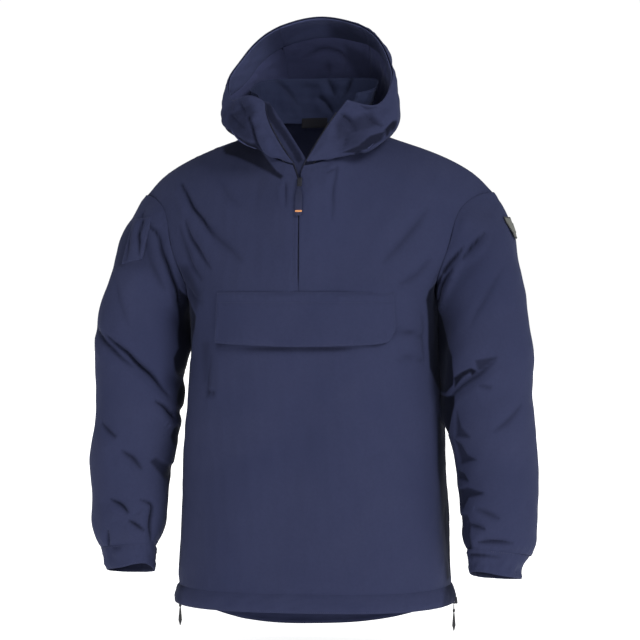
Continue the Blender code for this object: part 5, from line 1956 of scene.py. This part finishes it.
def cloth_pieces(finishes: dict[str, bpy.types.Material]) -> list[ClothPiece]:
    """Every cloth piece of the garment.

    Args:
        finishes: The garment's materials by name.

    Returns:
        The pieces, unbuilt.
    """
    shell, tape = finishes["shell"], finishes["tape"]
    pieces = [
        ClothPiece("front", (0.62, 0.80), 0.86, TRUNK, shell, smooth=3, puff=0.0010, sway=(0.16, 0.0011),
                   creases=FRONT_CREASES, stitched=ZIP_STITCHES, swells=FRONT_SWELLS,
                   shade_patches=FRONT_SHADE_PATCHES, extend=ZIP_SLIT, seed=11),
        ClothPiece("back", (0.62, 0.84), 0.84, TRUNK_BACK, shell, smooth=3, puff=0.0010,
                   sway=(0.15, 0.0016), creases=BACK_CREASES, swells=FRONT_SWELLS, shade_patches=SIDES, seed=12),
    ]
    hems = (("front", (0.46, 0.042), TRUNK, 13), ("back", (0.50, 0.040), TRUNK_BACK, 14))
    for name, cut, axis, seed in hems:
        pieces.append(
            ClothPiece(f"hem_{name}", cut, 1.0, axis, shell, wall=0.0020, puff=0.0016, puff_reach=0.008,
                       sway=(0.06, 0.0006), pucker=(0.010, 0.0006), seams=HEM_SEAMS,
                       shade_patches=HEM_SHADE_PATCHES, seed=seed)
        )
    for name, side, folds in (("right", -1, SLEEVE_RIGHT_CREASES), ("left", 1, SLEEVE_LEFT_CREASES)):
        pieces += [
            ClothPiece(f"sleeve_{name}", (0.48, 0.62), 0.78, SLEEVES[side], shell, smooth=3, puff=0.0010,
                       inside=(side * 0.29, -0.01, 0), sway=(0.11, 0.0016), creases=folds,
                       swells=SLEEVE_SWELLS[name], shade_patches=SLEEVE_SHADE_PATCHES[name], seed=20 + side),
            ClothPiece(f"cuff_{name}", (0.27, 0.045), 1.0, SLEEVES[side], shell, wall=0.0018,
                       inside=(side * 0.302, -0.028, 0), reverse=finishes["reverse"], puff=0.0014,
                       puff_reach=0.009, sway=(0.03, 0.0007), crumple=(0.012, 0.0004),
                       pucker=(0.008, 0.0007), seams=CUFF_SEAMS, creases=CUFF_CREASES[name],
                       pulls=CUFF_PULLS[name], seed=30 + side),
        ]
    for name, side in SIDES_BY_NAME:
        pieces.append(
            ClothPiece(f"hood_{name}", (0.33, 0.30), 0.55, HOOD_AXIS, shell, smooth=3, level=False,
                       inside=(0.0, 0.06, 0.08), puff=0.0016, sway=(0.07, 0.0016),
                       crumple=(0.024, 0.0005), creases=HOOD_CREASES[name], swells=HOOD_SWELLS[name],
                       shade_patches=HOOD_SHADE_PATCHES[name], seams=HOOD_SEAMS, extend=NECK_SEAM, seed=40 + side)
        )
    pieces += [
        ClothPiece("hood_centre", (0.15, 0.30), 0.85, CROWN, shell, level=False, inside=(0.0, 0.08, 0.1),
                   puff=0.0014, sway=(0.06, 0.0010), seams=HOOD_SEAMS, seed=43),
        ClothPiece("hood_facing", (0.45, 0.085), 0.85, CROWN, finishes["facing"], side=Side.IN,
                   level=False, inside=(0.0, 0.04, 0.08), wall=0.0009, puff=0.0006, sway=(0.05, 0.0007),
                   crumple=(0.018, 0.0004), seams=HOOD_SEAMS, shade_patches=FACING_SHADE_PATCHES, seed=44),
        ClothPiece("hood_lining", (0.40, 0.22), 0.78, CROWN, finishes["lining"], "lining_cloth",
                   side=Side.IN, level=False, inside=(0.0, 0.04, 0.08), smooth=3, wall=0.0009,
                   puff=0.0018, sway=(0.06, 0.0012), crumple=(0.022, 0.0006), creases=LINING_CREASES,
                   shade_patches=LINING_SHADE_PATCHES, seed=45),
        ClothPiece("collar", (0.42, 0.095), 0.85, HOOD_AXIS, finishes["collar"], side=Side.IN,
                   level=False, inside=(0.0, 0.0, 0.07), smooth=3, wall=0.0022, puff=0.0012,
                   sway=(0.05, 0.0010), crumple=(0.020, 0.0005), seams=COLLAR_SEAMS,
                   creases=COLLAR_CREASES, extend=COLLAR_FOOT, pulls=COLLAR_PULLS, seed=46),
        ClothPiece("zip_guard", (0.035, 0.24), 0.90, TRUNK, shell, wall=0.0010, puff=0.0004,
                   puff_reach=0.008, sway=(0.05, 0.0004), crumple=(0.02, 0.0002),
                   pucker=(0.01, 0.0001), shade_patches=GUARD_SHADE_PATCHES, seed=47),
        ClothPiece("pocket_flap", (0.295, 0.095), 0.98, TRUNK, shell, smooth=3, wall=0.0022, puff=0.0010,
                   puff_reach=0.008, sway=(0.09, 0.0007), crumple=(0.03, 0.00015),
                   pucker=(0.012, 0.0003), seams=FLAP_SEAMS, stitched=FLAP_STITCHES,
                   swells=FLAP_SWELLS, pulls=FLAP_PULLS, seed=48),
        ClothPiece("sleeve_pocket", (0.045, 0.080), 0.92, SLEEVES[-1], shell, inside=(-0.27, 0.0, 0),
                   wall=0.0014, puff=0.0016, puff_reach=0.012, sway=(0.04, 0.0003),
                   crumple=(0.02, 0.0002), tuck=(0.0015, 0.0040), seams=POCKET_SEAMS,
                   creases=SLEEVE_ZIP, seed=49),
        ClothPiece("neck_label", (0.045, 0.019), 1.0, HOOD_AXIS, finishes["label"], "label_cloth",
                   side=Side.IN, level=False, inside=(0.0, 0.0, 0.05), wall=0.0008, puff=0.0003,
                   puff_reach=0.003, sway=(0.03, 0.0001), crumple=(0.01, 0.00005),
                   pucker=(0.006, 0.00005), tuck=(0.0002, 0.0004), seed=50),
    ]
    for name, side in SIDES_BY_NAME:
        pieces += [
            ClothPiece(f"zip_tape_{name}", (0.013, 0.29), 0.95, TRUNK, tape, "zip_tape", wall=0.0010,
                       puff=0.0001, puff_reach=0.002, sway=(0.05, 0.0001), crumple=(0.02, 0.00005),
                       pucker=(0.01, 0.00005), tuck=(0.0002, 0.0003), seams=(FRONT_TEETH[name],),
                       seed=60 + side),
            ClothPiece(f"side_zip_{name}", (0.014, 0.32), 1.0, TRUNK, tape, "zip_tape", wall=0.0010,
                       inside=(0.0, SIDE_SEAM_Y, 0.0), puff=0.0001, puff_reach=0.002,
                       sway=(0.05, 0.0001), crumple=(0.02, 0.00005), pucker=(0.01, 0.00005),
                       tuck=(0.0002, 0.0003), stitched=SIDE_TEETH[name], trim=Trim.TEETH, seed=64 + side),
        ]
    return pieces


def sewings(finishes: dict[str, bpy.types.Material]) -> tuple[Sewing, ...]:
    """Every kind of row.

    Args:
        finishes: The garment's materials by name.

    Returns:
        The thread and the teeth.
    """
    return (
        Sewing(Trim.STITCHES, RowTree("stitch_row", False), finishes["thread"], 0.0032,
               (0.0024, 0.00036, 0.00036), 0.14, "shell_cloth"),
        Sewing(Trim.TEETH, RowTree("tooth_row", True), finishes["coil"], 0.0014,
               (0.0008, 0.0030, 0.0013), 0.03, "zip_tape"),
    )


def fittings(finishes: dict[str, bpy.types.Material]) -> list[Fitting]:
    """Every hard piece.

    Args:
        finishes: The garment's materials by name.

    Returns:
        The pieces, unbuilt.
    """
    metal, pull, cord = ((finishes[name],) for name in ("metal", "pull", "cord"))
    pieces = [
        FrontSlider("zip_slider", BODY, metal, "slider_metal", 0.0006),
        FrontPuller("zip_puller", "front_pull", pull, "puller_plastic", 0.0004),
        Badge("arm_badge", BODY, (finishes["border"], finishes["badge"]), "badge_rubber", 0.0003),
    ]
    for name, _ in SIDES_BY_NAME:
        pieces += [
            Fitting(f"side_slider_{name}", BODY, metal, "slider_metal", 0.0006),
            Fitting(f"side_pull_{name}", f"{name}_pull", cord, "puller_plastic", 0.0003),
        ]
    return pieces


def main() -> None:
    """Build everything in order."""
    logging.basicConfig(level=logging.INFO, format="%(name)s: %(message)s")
    bpy.context.scene.unit_settings.system = "METRIC"
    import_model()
    low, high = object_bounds()
    finishes = Wardrobe().build()
    Studio().build(low[2])
    rows = sewings(finishes)
    for piece in cloth_pieces(finishes):
        piece.build()
        for sewing in rows:
            if piece.rows.get(sewing.kind):
                sewing.build(piece.node, piece.rows[sewing.kind])
    for fitting in fittings(finishes):
        fitting.build()
    low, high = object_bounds()


if __name__ == "__main__":
    main()
